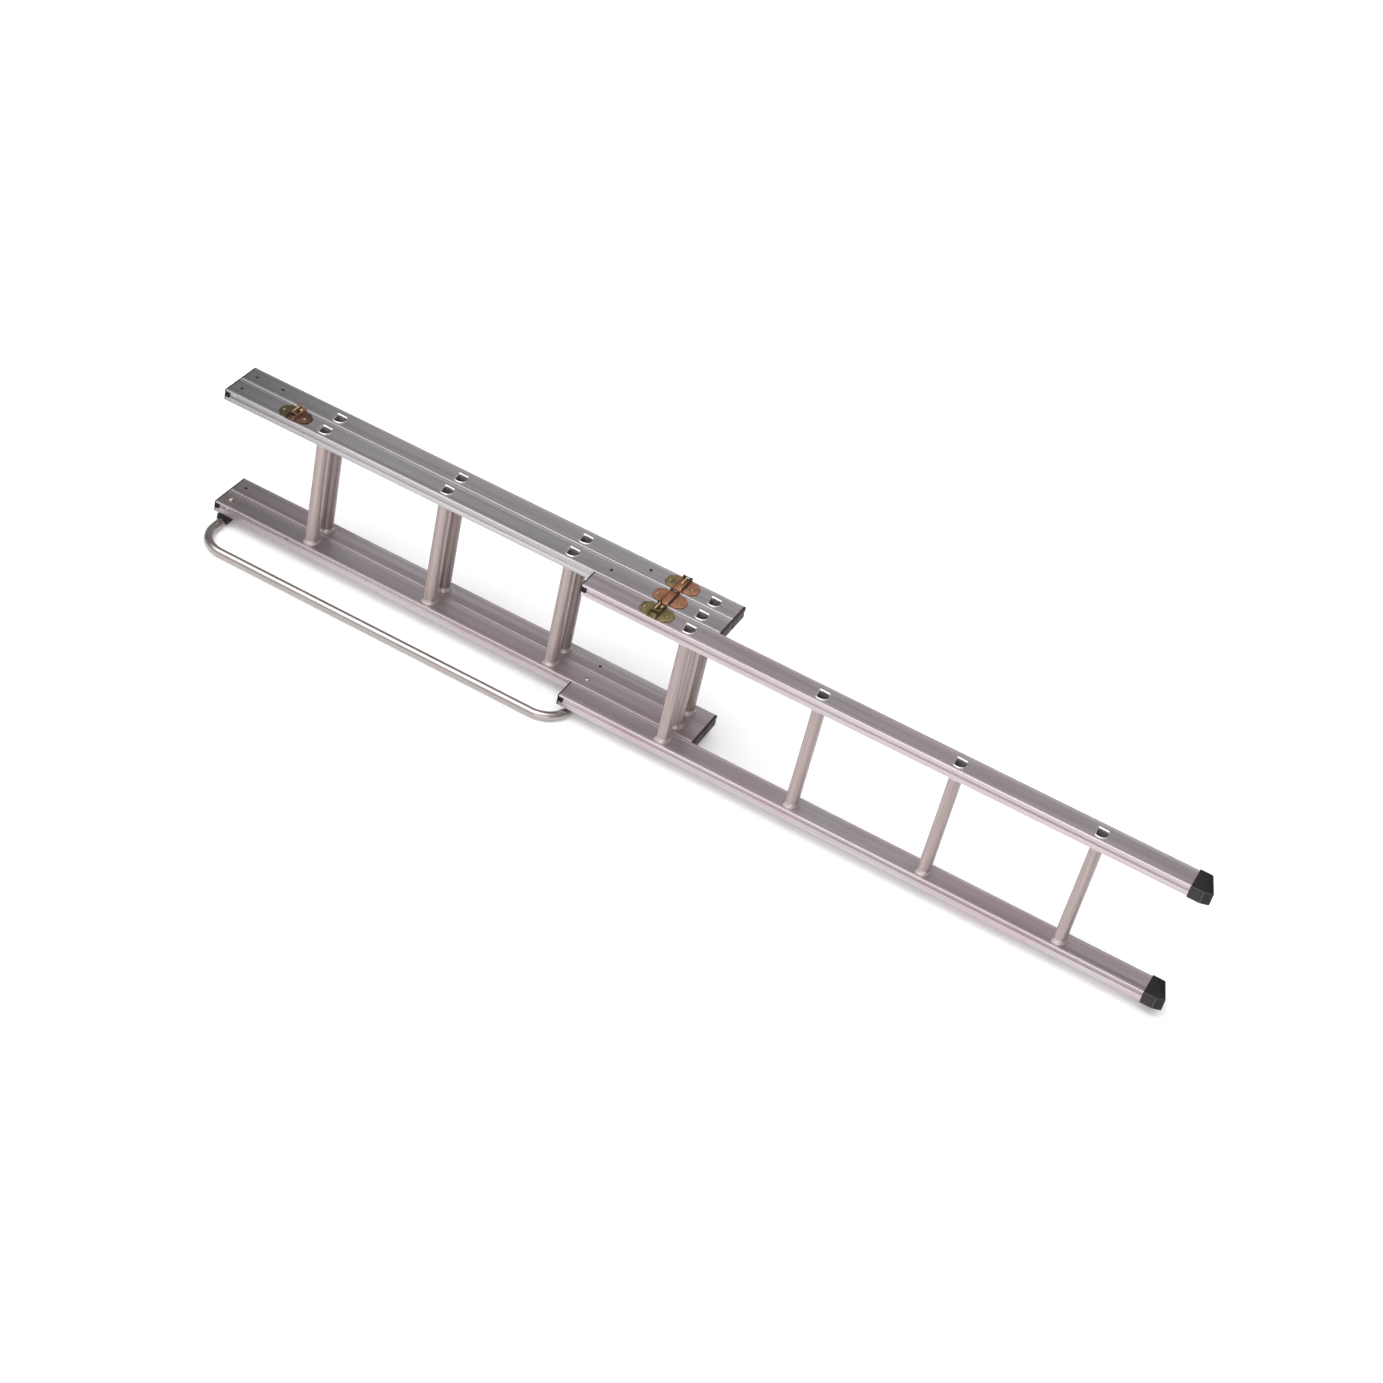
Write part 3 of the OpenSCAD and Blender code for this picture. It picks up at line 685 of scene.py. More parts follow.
def make_stud(section):
    node = f"{section}_catch_stud"
    skin = Skin(catch_place(f"{section}_catch_plate"))
    skin.lathe((STUD.x, STUD.y, 0.0), (0, 0, 1),
               [(ON_AXIS, 0.0), (2.3, 0.0), (2.5, 0.2), (2.5, STUD_SEAT)]
               + dome(3.5, 1.4, STUD_SEAT, 0.8))
    skin.build(MATERIALS["catch_stud"], node)


SPRING_CENTRE = (-3.0, 7.5)
SPRING_RADIUS = 1.65
SPRING_WIRE = 0.62
SPRING_COILS = 9
SPRING_END = EAR_Y - 0.05
SPRING_HOOK = 2.0
SPRING_LEAD = 0.7
TURN_STEPS = 16
WIRE_SIDES = 10
BUFFER_CENTRE = (0.6, 5.1)
BUFFER_REAR = -6.0


def spring_path(x, z, start, end):
    """A coil along Y that closes to its own axis at both ends."""
    path = [(x, start, z), (x, start + SPRING_LEAD, z)]
    steps = TURN_STEPS * SPRING_COILS
    for k in range(steps + 1):
        turn = 2 * math.pi * SPRING_COILS * k / steps
        y = start + SPRING_HOOK + (end - start - 2 * SPRING_HOOK) * k / steps
        path.append((x + SPRING_RADIUS * math.sin(turn), y, z + SPRING_RADIUS * math.cos(turn)))
    path += [(x, end - SPRING_LEAD, z), (x, end, z)]
    return path


def make_spring(section):
    """A tension spring with a hook at each end, in one fixed shape, on a mesh of its own."""
    node = f"{section}_catch_spring"
    place = catch_place(f"{section}_catch_plate")
    skin = Skin(place)
    x, z = SPRING_CENTRE
    coil = spring_path(x, z, SLIDE_REAR + TAB + 0.15, SPRING_END)
    skin.sweep(coil, SPRING_WIRE, WIRE_SIDES)
    spring = skin.build(MATERIALS["spring_steel"], node, smooth=COIL_SMOOTH_ANGLE)
    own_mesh(spring)


def make_keeper_spring():
    """The buffer coil in the top section's keeper."""
    node = "top_keeper_spring"
    skin = Skin(catch_place("top_keeper_plate"))
    x, z = BUFFER_CENTRE
    skin.sweep(spring_path(x, z, BUFFER_REAR, SPRING_END), SPRING_WIRE, WIRE_SIDES)
    skin.build(MATERIALS["spring_steel"], node, smooth=COIL_SMOOTH_ANGLE)


# ---------- small parts at the head plugs ----------

PLUG_RIVET_HEAD = 2.6
PLUG_RIVET_CROWN = 0.45


def make_plug_rivets(section):
    """Two hollow rivets, at opposite corners of their node's box."""
    node = f"{section}_plug_rivets"
    lowest, highest = low(node), high(node)
    head = PLUG_RIVET_HEAD
    skin = Skin(lowest)
    span = (highest - lowest) / MM
    for x, z in ((head, span.z - head), (span.x - head, head)):
        skin.lathe((x, PLUG_RIVET_CROWN, z), (0, 1, 0), [
            (ON_AXIS, 9.0), (1.6, 9.0), (1.6, 0.01), (head, 0.0), (2.45, -0.3),
            (2.0, -PLUG_RIVET_CROWN), (1.5, -0.42), (1.15, -0.2), (1.05, 0.3), (0.95, 6.5),
            (ON_AXIS, 6.5)])
    skin.build(MATERIALS["rivet_aluminium"], node)


# ---------- handrail ----------

TUBE = 19.0
TUBE_WALL = 1.5
TUBE_INSIDE = 0.02
RAIL_BEND = 57.0
RAIL_BEND_STEPS = 22
RAIL_SIDES = 48
# Straight lengths that the path gets at a leg's end and before a bend
LEG_LEAD = 0.8
BEND_LEAD = 1.0
PLUG_INSERT = 7.9


def rail_path():
    """The handrail's centre line in the frame, from one leg's end to the other's."""
    lowest, highest = low("handrail_tube") / MM, high("handrail_tube") / MM
    r = TUBE / 2
    x0, x1 = lowest.x + r, highest.x - r
    y_end, y_front = highest.y, lowest.y + r
    z = (lowest.z + highest.z) / 2
    y_bend = y_front + RAIL_BEND + BEND_LEAD
    quarter = [math.pi / 2 * k / RAIL_BEND_STEPS for k in range(RAIL_BEND_STEPS + 1)]
    path = [(x0, y_end, z), (x0, y_end - LEG_LEAD, z), (x0, y_bend, z)]
    path += [(x0 + RAIL_BEND * (1 - math.cos(t)), y_front + RAIL_BEND * (1 - math.sin(t)), z)
             for t in quarter]
    path += [(x1 - RAIL_BEND * (1 - math.sin(t)), y_front + RAIL_BEND * (1 - math.cos(t)), z)
             for t in quarter]
    path += [(x1, y_bend, z), (x1, y_end - LEG_LEAD, z), (x1, y_end, z)]
    return path


def lathe_pair(skin, span, axis, profile, **how):
    """The same turned piece at the skin's origin and span further along X."""
    for x in (0.0, span):
        skin.lathe((x, 0.0, 0.0), axis, profile, **how)


def make_handrail():
    skin = Skin((0, 0, 0))
    skin.sweep(rail_path(), TUBE / 2 - TUBE_INSIDE, RAIL_SIDES, TUBE / 2 - TUBE_WALL)
    skin.build(MATERIALS["handrail_metal"], "handrail_tube")
    ends = [Vector(p) * MM for p in (rail_path()[0], rail_path()[-1])]

    skin = Skin(ends[0])
    span = (ends[1].x - ends[0].x) / MM
    button = TUBE / 2 - FIT
    lathe_pair(skin, span, (0, 1, 0), [
        (ON_AXIS, -5.0), (PLUG_INSERT - 0.5, -5.0), (PLUG_INSERT, -4.5), (PLUG_INSERT, 0.0),
        (button, 0.0), (button, 1.2), (button - 0.35, 1.9), (button - 1.2, 2.35),
        (button - 2.6, 2.5), (ON_AXIS, 2.5)])
    skin.build(MATERIALS["black_plastic"], "handrail_plugs")


SADDLE_HALF = 12.5
SADDLE_BOTTOM = -3.0
SADDLE_LEAD = -1.0
SADDLE_STEPS = 24
# From the tube's centre up to the inner face of the stile that the saddle sits on
TUBE_DROP = 40.0


def saddle_outline():
    """The saddle seen along Y: flat above and hollowed to the tube below; Z from the tube."""
    half, bottom = SADDLE_HALF, SADDLE_BOTTOM
    top = -STILE_THICKNESS - FIT / 2 + TUBE_DROP
    bore = TUBE / 2 + FIT
    turns = [math.pi * k / SADDLE_STEPS for k in range(SADDLE_STEPS + 1)]
    points = rounded([(-half, bottom), (-half, top), (half, top), (half, bottom)],
                     [0.8, 3.0, 3.0, 0.8], 4)
    points += [(bore, bottom), (bore, SADDLE_LEAD)]
    points += [(bore * math.cos(t), bore * math.sin(t)) for t in turns]
    points += [(-bore, SADDLE_LEAD), (-bore, bottom)]
    return points


def make_saddles():
    for end in ("head", "tail"):
        node = f"handrail_saddle_{end}"
        lowest, highest = low(node), high(node)
        place = Vector(((lowest.x + highest.x) / 2, lowest.y, lowest.z - SADDLE_BOTTOM * MM))
        length = (highest.y - lowest.y) / MM
        skin = Skin(place)
        skin.bar_along_y(saddle_outline(), 0.0, length, 0.5)
        skin.build(MATERIALS["black_plastic"], node)


BOLT_HEAD = 11.0
BOLT_HEAD_HEIGHT = 3.2
INSERT = 9.0
INSERT_BORE = 3.05
THREADS = 5
THREAD_START = -1.6
THREAD_PITCH = 2.0


def make_bolts():
    """The handrail's socket bolts and the threaded inserts they are screwed into."""
    node = "handrail_bolts"
    lowest, highest = low(node), high(node)
    place = Vector((lowest.x + BOLT_HEAD / 2 * MM, middle(node).y, highest.z))
    span = (highest.x - lowest.x) / MM - BOLT_HEAD
    depth = (highest.z - lowest.z) / MM
    base = -BOLT_HEAD_HEIGHT
    skin = Skin(place)
    lathe_pair(skin, span, (0, 0, 1), [
        (ON_AXIS, -depth), (2.6, -depth), (3.0, -depth + 0.6), (3.0, base),
        (5.5, base), (5.5, base + 1.2), (5.1, base + 2.1), (4.3, base + 2.8),
        (3.2, base + 3.15), (2.4, base + 3.2), (2.2, base + 3.0), (2.1, base + 1.4),
        (ON_AXIS, base + 1.3)], segments=36)
    skin.build(MATERIALS["copper_zinc"], node)

    node = "handrail_inserts"
    lowest, highest = low(node), high(node)
    radius = INSERT / 2
    place = Vector((lowest.x + radius * MM, middle(node).y, highest.z))
    length = (highest.z - lowest.z) / MM
    span = (highest.x - lowest.x) / MM - INSERT
    skin = Skin(place)
    profile = [(INSERT_BORE, 0.0), (4.2, 0.0), (radius, -0.3), (radius, -1.0)]
    for k in range(THREADS):
        z = THREAD_START - THREAD_PITCH * k
        profile += [(4.2, z), (4.2, z - 0.5), (radius, z - 0.9), (radius, z - 1.3)]
    profile += [(radius, -length + 0.4), (4.1, -length), (INSERT_BORE, -length)]
    lathe_pair(skin, span, (0, 0, 1), profile, looped=True)
    skin.build(MATERIALS["bright_zinc"], node)


def make_catches():
    for section in ("top", "middle"):
        make_keeper_plate(section)
        make_catch_rivets(section, "keeper")
    for section in ("middle", "lower"):
        make_catch_plate(section)
        make_catch_rivets(section, "catch")
        make_stud(section)
        make_slide(section)
        make_spring(section)
    make_keeper_spring()


# ---------- node helpers ----------

class Tree:
    """The node tree of a material or a world."""

    def __init__(self, owner):
        owner.use_nodes = True
        self.nodes = owner.node_tree.nodes
        self.links = owner.node_tree.links

    def plug(self, value, socket):
        """Links another node's output to the socket, or gives it a plain value."""
        if isinstance(value, bpy.types.NodeSocket):
            self.links.new(value, socket)
        else:
            socket.default_value = value

    def add(self, kind, **inputs):
        """A node with its inputs filled; a space in an input's name is an underscore here."""
        node = self.nodes.new("ShaderNode" + kind)
        for name, value in inputs.items():
            self.plug(value, node.inputs[name.replace("_", " ")])
        return node

    def split(self, vector):
        """The X, Y and Z sockets of a vector."""
        return self.add("SeparateXYZ", Vector=vector).outputs

    def maths(self, operation, a, b=0.0):
        node = self.add("Math")
        node.operation = operation
        self.plug(a, node.inputs[0])
        self.plug(b, node.inputs[1])
        return node.outputs["Value"]


class Shader(Tree):
    """A material's node tree around one Principled BSDF."""

    def __init__(self, name):
        self.material = bpy.data.materials.new(name)
        super().__init__(self.material)
        self.nodes.clear()
        self.bsdf = self.add("BsdfPrincipled")
        self.add("OutputMaterial", Surface=self.bsdf.outputs["BSDF"])
        self.place = self.add("TexCoord").outputs["Object"]

    def set(self, **values):
        for name, value in values.items():
            self.plug(value, self.bsdf.inputs[name.replace("_", " ")])

    def noise(self, scale, detail=3.0, rough=0.5, place=(0, 0, 0), distortion=0.0):
        """Noise over object coordinates in metres; scale is cells per metre along each axis."""
        mapped = self.add("Mapping", Scale=scale, Location=place, Vector=self.place)
        return self.add("TexNoise", Scale=1.0, Detail=detail, Roughness=rough,
                        Distortion=distortion, Vector=mapped.outputs["Vector"]).outputs["Fac"]

    def ramp(self, factor, stops):
        node = self.add("ValToRGB", Fac=factor)
        elements = node.color_ramp.elements
        while len(elements) < len(stops):
            elements.new(0.5)
        for e, (place, colour) in zip(elements, stops):
            e.position = place
            e.color = (*colour, 1.0)
        return node.outputs["Color"]

    def remap(self, factor, low_out, high_out, low_in=0.3, high_in=0.7):
        return self.add("MapRange", Value=factor, From_Min=low_in, From_Max=high_in,
                        To_Min=low_out, To_Max=high_out).outputs["Result"]

    def mix(self, factor, a, b):
        node = self.add("Mix")
        node.data_type = "RGBA"
        for value, name in ((factor, "Factor"), (a, "A"), (b, "B")):
            socket = [s for s in node.inputs if s.name == name and s.enabled][0]
            self.plug((*value, 1.0) if isinstance(value, tuple) else value, socket)
        return [s for s in node.outputs if s.enabled][0]

    def bump(self, height, strength, distance):
        node = self.add("Bump", Strength=strength, Distance=distance, Height=height)
        self.set(Normal=node.outputs["Normal"])

    def edges(self):
        """Convex edges and rims, from the mesh's pointiness."""
        return self.remap(self.add("NewGeometry").outputs["Pointiness"], 0.0, 1.0, 0.51, 0.6)


# ---------- materials ----------

BAND_START = 0.0187
# Painted shade: each stile darkens towards its section's head end. These set how far it fades, how
# dark it gets, where it stops and its share there
HEAD_SHADE_FADE = 0.36
HEAD_SHADE_DARKNESS = 0.36
HEAD_SHADE_LENGTH = {"top": 0.40, "middle": 0.40, "lower": 0.20}
HEAD_SHADE_SHARE = {"top": 0.62, "middle": 0.62, "lower": 0.0}
CLOUD_STOPS = (0.36, 0.47, 0.56, 0.66)


def stile_metal(name, centre_y, head_shade, dark, light, tint, tint_share, roughness):
    """Extruded stile: streaks along its length, tinted clouds and paler edge bands.

    The third argument is the X where the painted shade at the section's head end stops, and that
    shade's share there."""
    s = Shader(name)
    streak = s.noise((1.6, 330, 330), detail=4, rough=0.62)
    broad = s.noise((0.9, 75, 75), detail=2, rough=0.5, place=(4, 1, 2))
    patch = s.noise((4.5, 16, 16), detail=3, rough=0.55, place=(5, 0, 1), distortion=0.4)
    scuff = s.noise((60, 260, 260), detail=5, rough=0.75, place=(1, 7, 3), distortion=0.6)
    tone = s.maths("ADD", s.maths("MULTIPLY", streak, 0.55), s.maths("MULTIPLY", broad, 0.45))
    metal = s.ramp(tone, [(0.38, dark), (0.62, light)])
    metal = s.mix(s.remap(patch, 0.0, tint_share, 0.38, 0.66), metal, tint)
    metal = s.mix(s.remap(scuff, 0.0, 0.3, 0.62, 0.78), metal, tuple(0.7 * c for c in dark))
    place = s.split(s.place)
    across = s.maths("SUBTRACT", place[1], centre_y)
    metal = s.mix(s.remap(across, 0.0, 0.35, -0.016, 0.020), metal, tuple(1.12 * c for c in light))
    # Painted shade: darker towards the section's head end, with a ragged edge
    head_shade_end, head_shade_share = head_shade
    ragged = s.maths("ADD", place[0], s.maths("MULTIPLY", patch, 0.12))
    metal = s.mix(s.remap(ragged, head_shade_share, 0.0, head_shade_end - HEAD_SHADE_FADE, head_shade_end),
                  metal, tuple(HEAD_SHADE_DARKNESS * c for c in dark))
    band = s.remap(s.maths("ABSOLUTE", across), 0.0, 0.20, BAND_START, BAND_START + 0.0004)
    metal = s.mix(band, metal, tuple(0.2 + 0.8 * c for c in light))
    rough = s.maths("ADD", s.remap(streak, roughness - 0.05, roughness + 0.08),
                    s.remap(scuff, 0.0, 0.12, 0.55, 0.8))
    s.set(Base_Color=metal, Metallic=s.remap(band, 0.97, 0.86, 0.0, 0.34), Roughness=rough)
    s.bump(tone, 0.22, 0.00015)
    return s.material


def drawn_aluminium(name, dark, light, tint, metallic, roughness, along, sharp=0.2):
    """Drawn aluminium: streaks along one axis, a faint tint in patches, fine scuffs."""
    s = Shader(name)
    streak = s.noise(along, detail=4, rough=0.6)
    patch = s.noise((14, 14, 14), detail=3, place=(5, 0, 1))
    scuff = s.noise((190, 190, 90), detail=5, rough=0.75, place=(1, 7, 3), distortion=0.6)
    metal = s.ramp(streak, [(0.32, dark), (0.68, light)])
    metal = s.mix(s.remap(patch, 0.0, 0.6, 0.4, 0.65), metal, tint)
    metal = s.mix(s.remap(scuff, 0.0, 0.3, 0.62, 0.78), metal, tuple(0.75 * c for c in dark))
    rough = s.maths("ADD", s.remap(streak, roughness - 0.05, roughness + 0.07),
                    s.remap(scuff, 0.0, 0.12, 0.55, 0.8))
    s.set(Base_Color=metal, Metallic=metallic, Roughness=rough)
    s.bump(streak, sharp, 0.00012)
    return s.material


def black_moulding(name, colour, roughness, grain):
    """Moulded plastic or rubber: fine grain, dust in patches and paler worn edges."""
    s = Shader(name)
    fine = s.noise((grain, grain, grain), detail=4, rough=0.6)
    dust = s.noise((26, 26, 26), detail=5, rough=0.65, place=(2, 4, 1))
    worn = tuple(3.0 * c + 0.012 for c in colour)
    base = s.mix(s.remap(dust, 0.0, 0.35, 0.5, 0.8), colour, tuple(2.0 * c for c in colour))
    base = s.mix(s.maths("MULTIPLY", s.edges(), 0.6), base, worn)
    s.set(Base_Color=base, Roughness=s.remap(fine, roughness - 0.08, roughness + 0.1),
          Specular_IOR_Level=0.18)
    s.bump(fine, 0.35, 0.0002)
    return s.material


def yellow_zinc(name, tones, seed, right_tones=None, middle_x=0.0):
    """Yellow-passivated zinc: clouds that run between four tones, with darker pits.

    right_tones take over past middle_x, where the plating bath left another hue."""
    s = Shader(name)
    cloud = s.noise((55, 55, 55), detail=3, rough=0.55, place=(seed, 1, 2), distortion=0.8)
    flow = s.noise((150, 150, 150), detail=3, place=(1, seed, 2), distortion=1.2)
    pits = s.noise((900, 900, 900), detail=2, place=(2, 3, seed))
    base = s.ramp(cloud, list(zip(CLOUD_STOPS, tones)))
    if right_tones:
        place = s.split(s.place)
        ragged = s.maths("ADD", place[0], s.maths("MULTIPLY", flow, 0.012))
        other = s.ramp(cloud, list(zip(CLOUD_STOPS, right_tones)))
        base = s.mix(s.remap(ragged, 0.0, 1.0, middle_x, middle_x + 0.010), base, other)
    base = s.mix(s.remap(flow, 0.0, 0.35, 0.45, 0.66), base, (right_tones or tones)[2])
    base = s.mix(s.remap(pits, 0.0, 0.4, 0.6, 0.72), base, tuple(0.4 * c for c in tones[0]))
    s.set(Base_Color=base, Metallic=0.55, Roughness=s.remap(flow, 0.34, 0.52))
    s.bump(pits, 0.12, 0.0001)
    return s.material


def plated_steel(name, dark, light, roughness, metallic=1.0):
    """Plated small parts: cloudy tone and fine tool marks."""
    s = Shader(name)
    cloud = s.noise((220, 220, 220), detail=4, rough=0.6)
    s.set(Base_Color=s.ramp(cloud, [(0.35, dark), (0.65, light)]), Metallic=metallic,
          Roughness=s.remap(cloud, roughness - 0.06, roughness + 0.08))
    s.bump(s.noise((1600, 1600, 1600), detail=2), 0.15, 0.00006)
    return s.material


def pale_floor(name):
    s = Shader(name)
    cloud = s.noise((0.7, 0.7, 0.7), detail=3)
    s.set(Base_Color=s.ramp(cloud, [(0.3, (0.90, 0.90, 0.90)), (0.7, (0.93, 0.93, 0.93))]),
          Roughness=0.9, Specular_IOR_Level=0.1, Emission_Strength=0.16,
          Emission_Color=(1.0, 1.0, 1.0, 1.0))
    return s.material


MAUVE = (0.50, 0.37, 0.41)
GREY = ((0.36, 0.35, 0.36), (0.60, 0.58, 0.59), MAUVE)
WARM = ((0.40, 0.355, 0.37), (0.65, 0.59, 0.605), MAUVE)
STILE_TONES = {
    ("top", "right"): (*GREY, 0.25), ("top", "left"): (*WARM, 0.55),
    ("middle", "right"): (*GREY, 0.30), ("middle", "left"): (*WARM, 0.60),
    ("lower", "right"): (*WARM, 0.35), ("lower", "left"): (*WARM, 0.70)}
OLIVE = ((0.120, 0.110, 0.040), (0.185, 0.160, 0.060),
         (0.240, 0.190, 0.075), (0.300, 0.175, 0.090))
COPPER = ((0.250, 0.130, 0.065), (0.370, 0.160, 0.090),
          (0.430, 0.180, 0.105), (0.420, 0.240, 0.130))
BROWN = ((0.075, 0.070, 0.030), (0.110, 0.095, 0.045),
         (0.160, 0.075, 0.048), (0.210, 0.105, 0.065))
BRIGHT_COPPER = tuple(tuple(1.15 * c for c in tone) for tone in COPPER)
DARK_OLIVE = ((0.055, 0.055, 0.022), (0.080, 0.072, 0.030),
              (0.100, 0.078, 0.036), (0.130, 0.075, 0.045))
MAROON = ((0.070, 0.040, 0.026), (0.100, 0.050, 0.034),
          (0.125, 0.060, 0.042), (0.160, 0.080, 0.052))
# Yellow zinc darkened by painted shade: the shaded high flanges and the lower slide
SHADED_BROWN = ((0.045, 0.035, 0.018), (0.065, 0.048, 0.025),
              (0.085, 0.050, 0.030), (0.110, 0.070, 0.040))

MATERIALS = {
    "rivet_aluminium": plated_steel(
        "rivet_aluminium", (0.60, 0.58, 0.59), (0.85, 0.83, 0.83), 0.35, 0.7),
    "handrail_metal": drawn_aluminium(
        "handrail_metal", (0.39, 0.355, 0.345), (0.47, 0.435, 0.42), (0.44, 0.38, 0.36),
        0.97, 0.22, (9, 60, 120), 0.04),
    "black_rubber": black_moulding("black_rubber", (0.0095, 0.0082, 0.0088), 0.62, 900),
    "black_plastic": black_moulding("black_plastic", (0.0085, 0.0075, 0.0078), 0.52, 1400),
    "yellow_zinc": yellow_zinc("yellow_zinc", OLIVE, 4.0),
    "lower_catch_plate": yellow_zinc("yellow_zinc_olive", OLIVE, 1.0),
    "middle_keeper_plate": yellow_zinc("yellow_zinc_copper", COPPER, 2.0),
    "top_keeper_plate": yellow_zinc(
        "yellow_zinc_mixed", OLIVE, 7.0, COPPER, middle("top_keeper_plate").x - 0.012),
    "middle_catch_plate": yellow_zinc(
        "yellow_zinc_brown", DARK_OLIVE, 5.0, MAROON, middle("middle_catch_plate").x - 0.008),
    # The slides' copper and brown, darkened by painted shade where they lie down in the channel
    "middle_slide": yellow_zinc("slide_copper_shaded", (BROWN[1], BROWN[2], BROWN[3], COPPER[0]), 8.0),
    "lower_slide": yellow_zinc("slide_brown_shaded", (SHADED_BROWN[2], BROWN[1], BROWN[2], BROWN[3]), 9.0),
    # The high flanges of the lower catch and the keepers: yellow zinc with painted shade on their
    # dark side
    "lower_flange": yellow_zinc("yellow_zinc_shaded", SHADED_BROWN, 3.0),
    "middle_flange": yellow_zinc("yellow_zinc_ridge", BRIGHT_COPPER, 3.0),
    "cap_plastic": black_moulding("cap_plastic", (0.024, 0.014, 0.014), 0.50, 1400),
    "rubber_panel": black_moulding("rubber_panel", (0.0145, 0.0120, 0.0128), 0.55, 900),
    "bright_zinc": plated_steel("bright_zinc", (0.52, 0.47, 0.40), (0.78, 0.73, 0.64), 0.28),
    "catch_rivet": plated_steel("rivet_zinc", (0.62, 0.57, 0.48), (0.90, 0.86, 0.80), 0.30, 0.8),
    "rivet_head": yellow_zinc("rivet_head", (BROWN[1], OLIVE[1], BROWN[3], OLIVE[2]), 6.0),
    "catch_stud": plated_steel("stud_zinc", (0.50, 0.36, 0.20), (0.80, 0.62, 0.40), 0.28),
    "copper_zinc": plated_steel("copper_zinc", (0.50, 0.36, 0.28), (0.86, 0.74, 0.64), 0.26),
    "spring_steel": plated_steel("spring_gold", (0.62, 0.45, 0.26), (0.88, 0.72, 0.50), 0.24),
    "rung_bore": plated_steel("rung_bore", (0.15, 0.13, 0.125), (0.30, 0.27, 0.26), 0.55, 0.2),
    "rung_lip": plated_steel("rung_lip", (0.62, 0.60, 0.60), (0.84, 0.82, 0.82), 0.26, 0.88),
    "rung_collar": plated_steel("rung_collar", (0.42, 0.36, 0.35), (0.60, 0.53, 0.52), 0.36, 0.7),
    # Paler rubber for the boot's rims and nose edge: a painted highlight
    "rubber_edge_highlight": black_moulding("rubber_edge_highlight", (0.036, 0.031, 0.033), 0.5, 900),
}
RUNG_TONES = {
    "top": ((0.22, 0.175, 0.165), (0.37, 0.31, 0.295), (0.33, 0.25, 0.25)),
    "middle": ((0.32, 0.26, 0.245), (0.52, 0.445, 0.42), (0.44, 0.35, 0.34)),
    "lower": ((0.30, 0.24, 0.23), (0.50, 0.42, 0.41), (0.42, 0.33, 0.33))}


def make_section_metals():
    for section in SECTIONS:
        for side in SIDES:
            node = f"{section}_stile_{side}"
            centre_y = high(node).y - STILE_DEPTH / 2 * MM
            # Where the painted shade at the section's head end stops, and its share there
            head_shade = (low(node).x + HEAD_SHADE_LENGTH[section], HEAD_SHADE_SHARE[section])
            MATERIALS[node] = stile_metal(node + "_metal", centre_y, head_shade,
                                          *STILE_TONES[section, side], 0.36)
        MATERIALS[section + "_rung"] = drawn_aluminium(
            section + "_rung_metal", *RUNG_TONES[section], 0.62, 0.38, (210, 210, 4))


def dress_cad_nodes():
    """The stiles keep their CAD meshes; every other node is dressed too, though replaced."""
    for name, node in NODES.items():
        node.data.materials.clear()
        own = MATERIALS.get(name) or MATERIALS.get(SLOT_OF[name]) or MATERIALS["rung_collar"]
        node.data.materials.append(own)


# ---------- stage, light and camera ----------

CAMERA_AZIMUTH = 18.77
CAMERA_ELEVATION = 39.91
CAMERA_ROLL = 14.30
CAMERA_PLACE = Vector((1.2451, -3.5958, 3.3386))
CAMERA_LENS = 68.29
FLOOR_SIDE = 40.0


def make_floor():
    mesh = bpy.data.meshes.new("floor")
    bm = bmesh.new()
    bmesh.ops.create_grid(bm, x_segments=8, y_segments=8, size=FLOOR_SIDE / 2)
    bm.to_mesh(mesh)
    bm.free()
    floor = bpy.data.objects.new("floor", mesh)
    floor.data.materials.append(pale_floor("pale_floor"))
    bpy.context.scene.collection.objects.link(floor)


def add_lamp(kind, name, direction, place=(0, 0, 0), **settings):
    light = bpy.data.lights.new(name, kind)
    for setting, value in settings.items():
        setattr(light, setting, value)
    lamp = bpy.data.objects.new(name, light)
    lamp.location = place
    lamp.rotation_mode = "QUATERNION"
    lamp.rotation_quaternion = Vector(direction).to_track_quat("-Z", "Y")
    bpy.context.scene.collection.objects.link(lamp)


WORLD_OVERHEAD = 1.3
WORLD_BEHIND_HEAD = 0.27
WORLD_BEHIND_FEET = 0.36
WORLD_PAST_FEET = -0.09
WORLD_FRONT = 0.75


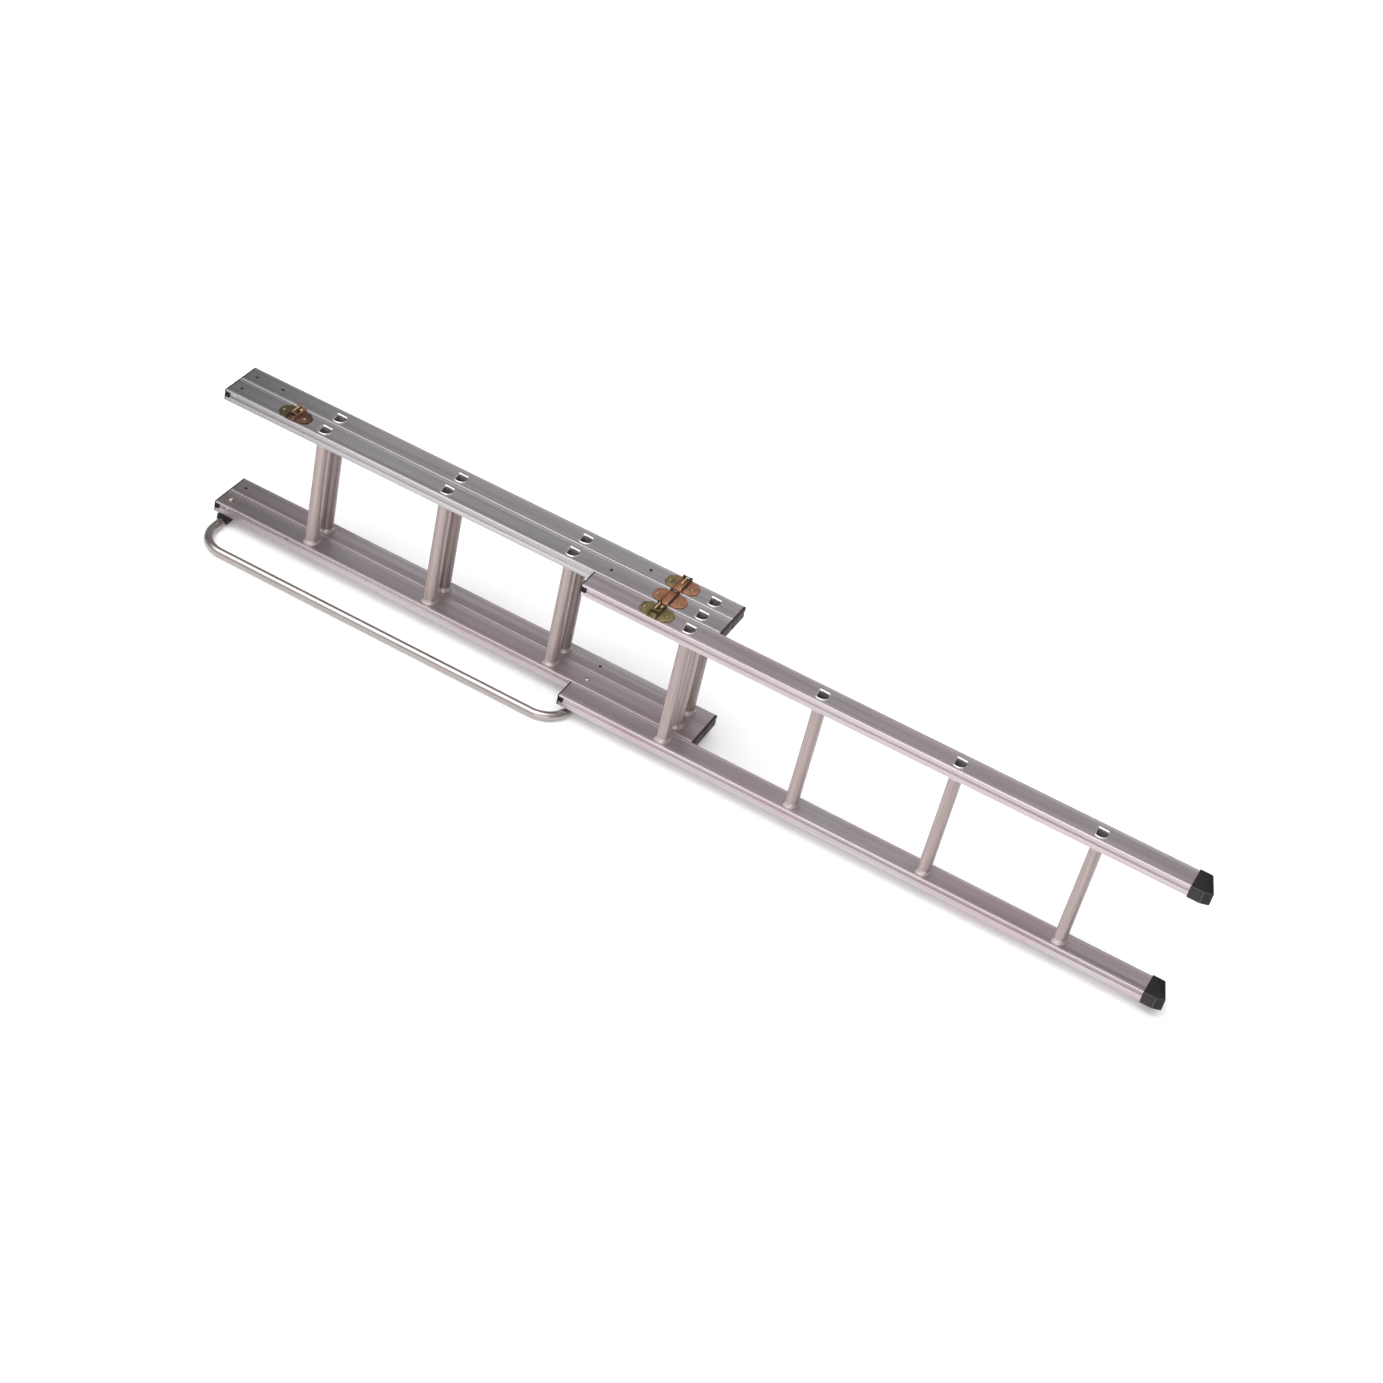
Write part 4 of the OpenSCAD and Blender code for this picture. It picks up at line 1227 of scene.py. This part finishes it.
def make_world():
    """A soft studio surround: bright overhead and in front, dimmer behind the ladder's head."""
    world = bpy.data.worlds.new("studio")
    tree = Tree(world)
    towards = tree.split(tree.add("TexCoord").outputs["Generated"])

    def grade(axis, start, end, low_value, high_value):
        node = tree.add("MapRange", Value=towards[axis], From_Min=start, From_Max=end,
                        To_Min=low_value, To_Max=high_value)
        node.interpolation_type = "SMOOTHSTEP"
        return node.outputs["Result"]

    overhead = grade("Z", 0.72, 0.98, 0.0, WORLD_OVERHEAD)
    behind = grade("X", -0.52, -0.28, WORLD_BEHIND_HEAD, WORLD_BEHIND_FEET)
    level = grade("Y", 0.1, -0.8, behind, WORLD_FRONT)
    past_feet = grade("X", -0.25, 0.0, 0.0, WORLD_PAST_FEET)
    background = tree.nodes["Background"].inputs
    tree.plug((0.95, 0.95, 0.97, 1.0), background["Color"])
    strength = tree.maths("ADD", overhead, tree.maths("ADD", level, past_feet))
    tree.plug(strength, background["Strength"])
    bpy.context.scene.world = world


def make_light():
    make_world()
    add_lamp("SUN", "overhead", (0.25, 0.35, -1.0), energy=1.5, angle=math.radians(60.0))
    fill_place = Vector((2.0, -5.5, 2.0))
    add_lamp("AREA", "front_fill", Vector((0, 0, 0.1)) - fill_place, fill_place,
             shape="RECTANGLE", size=5.0, size_y=2.5, energy=60.0, color=(1.0, 0.97, 0.96))


def make_camera():
    azimuth = math.radians(CAMERA_AZIMUTH)
    elevation = math.radians(CAMERA_ELEVATION)
    back = Vector((math.sin(azimuth) * math.cos(elevation),
                   -math.cos(azimuth) * math.cos(elevation), math.sin(elevation)))
    data = bpy.data.cameras.new("camera")
    data.lens = CAMERA_LENS
    data.sensor_width = 36.0
    data.clip_end = 100.0
    camera = bpy.data.objects.new("camera", data)
    camera.rotation_mode = "QUATERNION"
    level = (-back).to_track_quat("-Z", "Y")
    camera.rotation_quaternion = level @ Quaternion((0, 0, 1), math.radians(CAMERA_ROLL))
    camera.location = CAMERA_PLACE
    bpy.context.scene.collection.objects.link(camera)
    bpy.context.scene.camera = camera


make_section_metals()
dress_cad_nodes()
make_rungs()
make_head_plugs()
make_end_caps()
make_boots()
make_catches()
for section in SECTIONS:
    make_plug_rivets(section)
make_handrail()
make_saddles()
make_bolts()
make_floor()
make_light()
make_camera()
bpy.context.scene.view_settings.view_transform = "Standard"
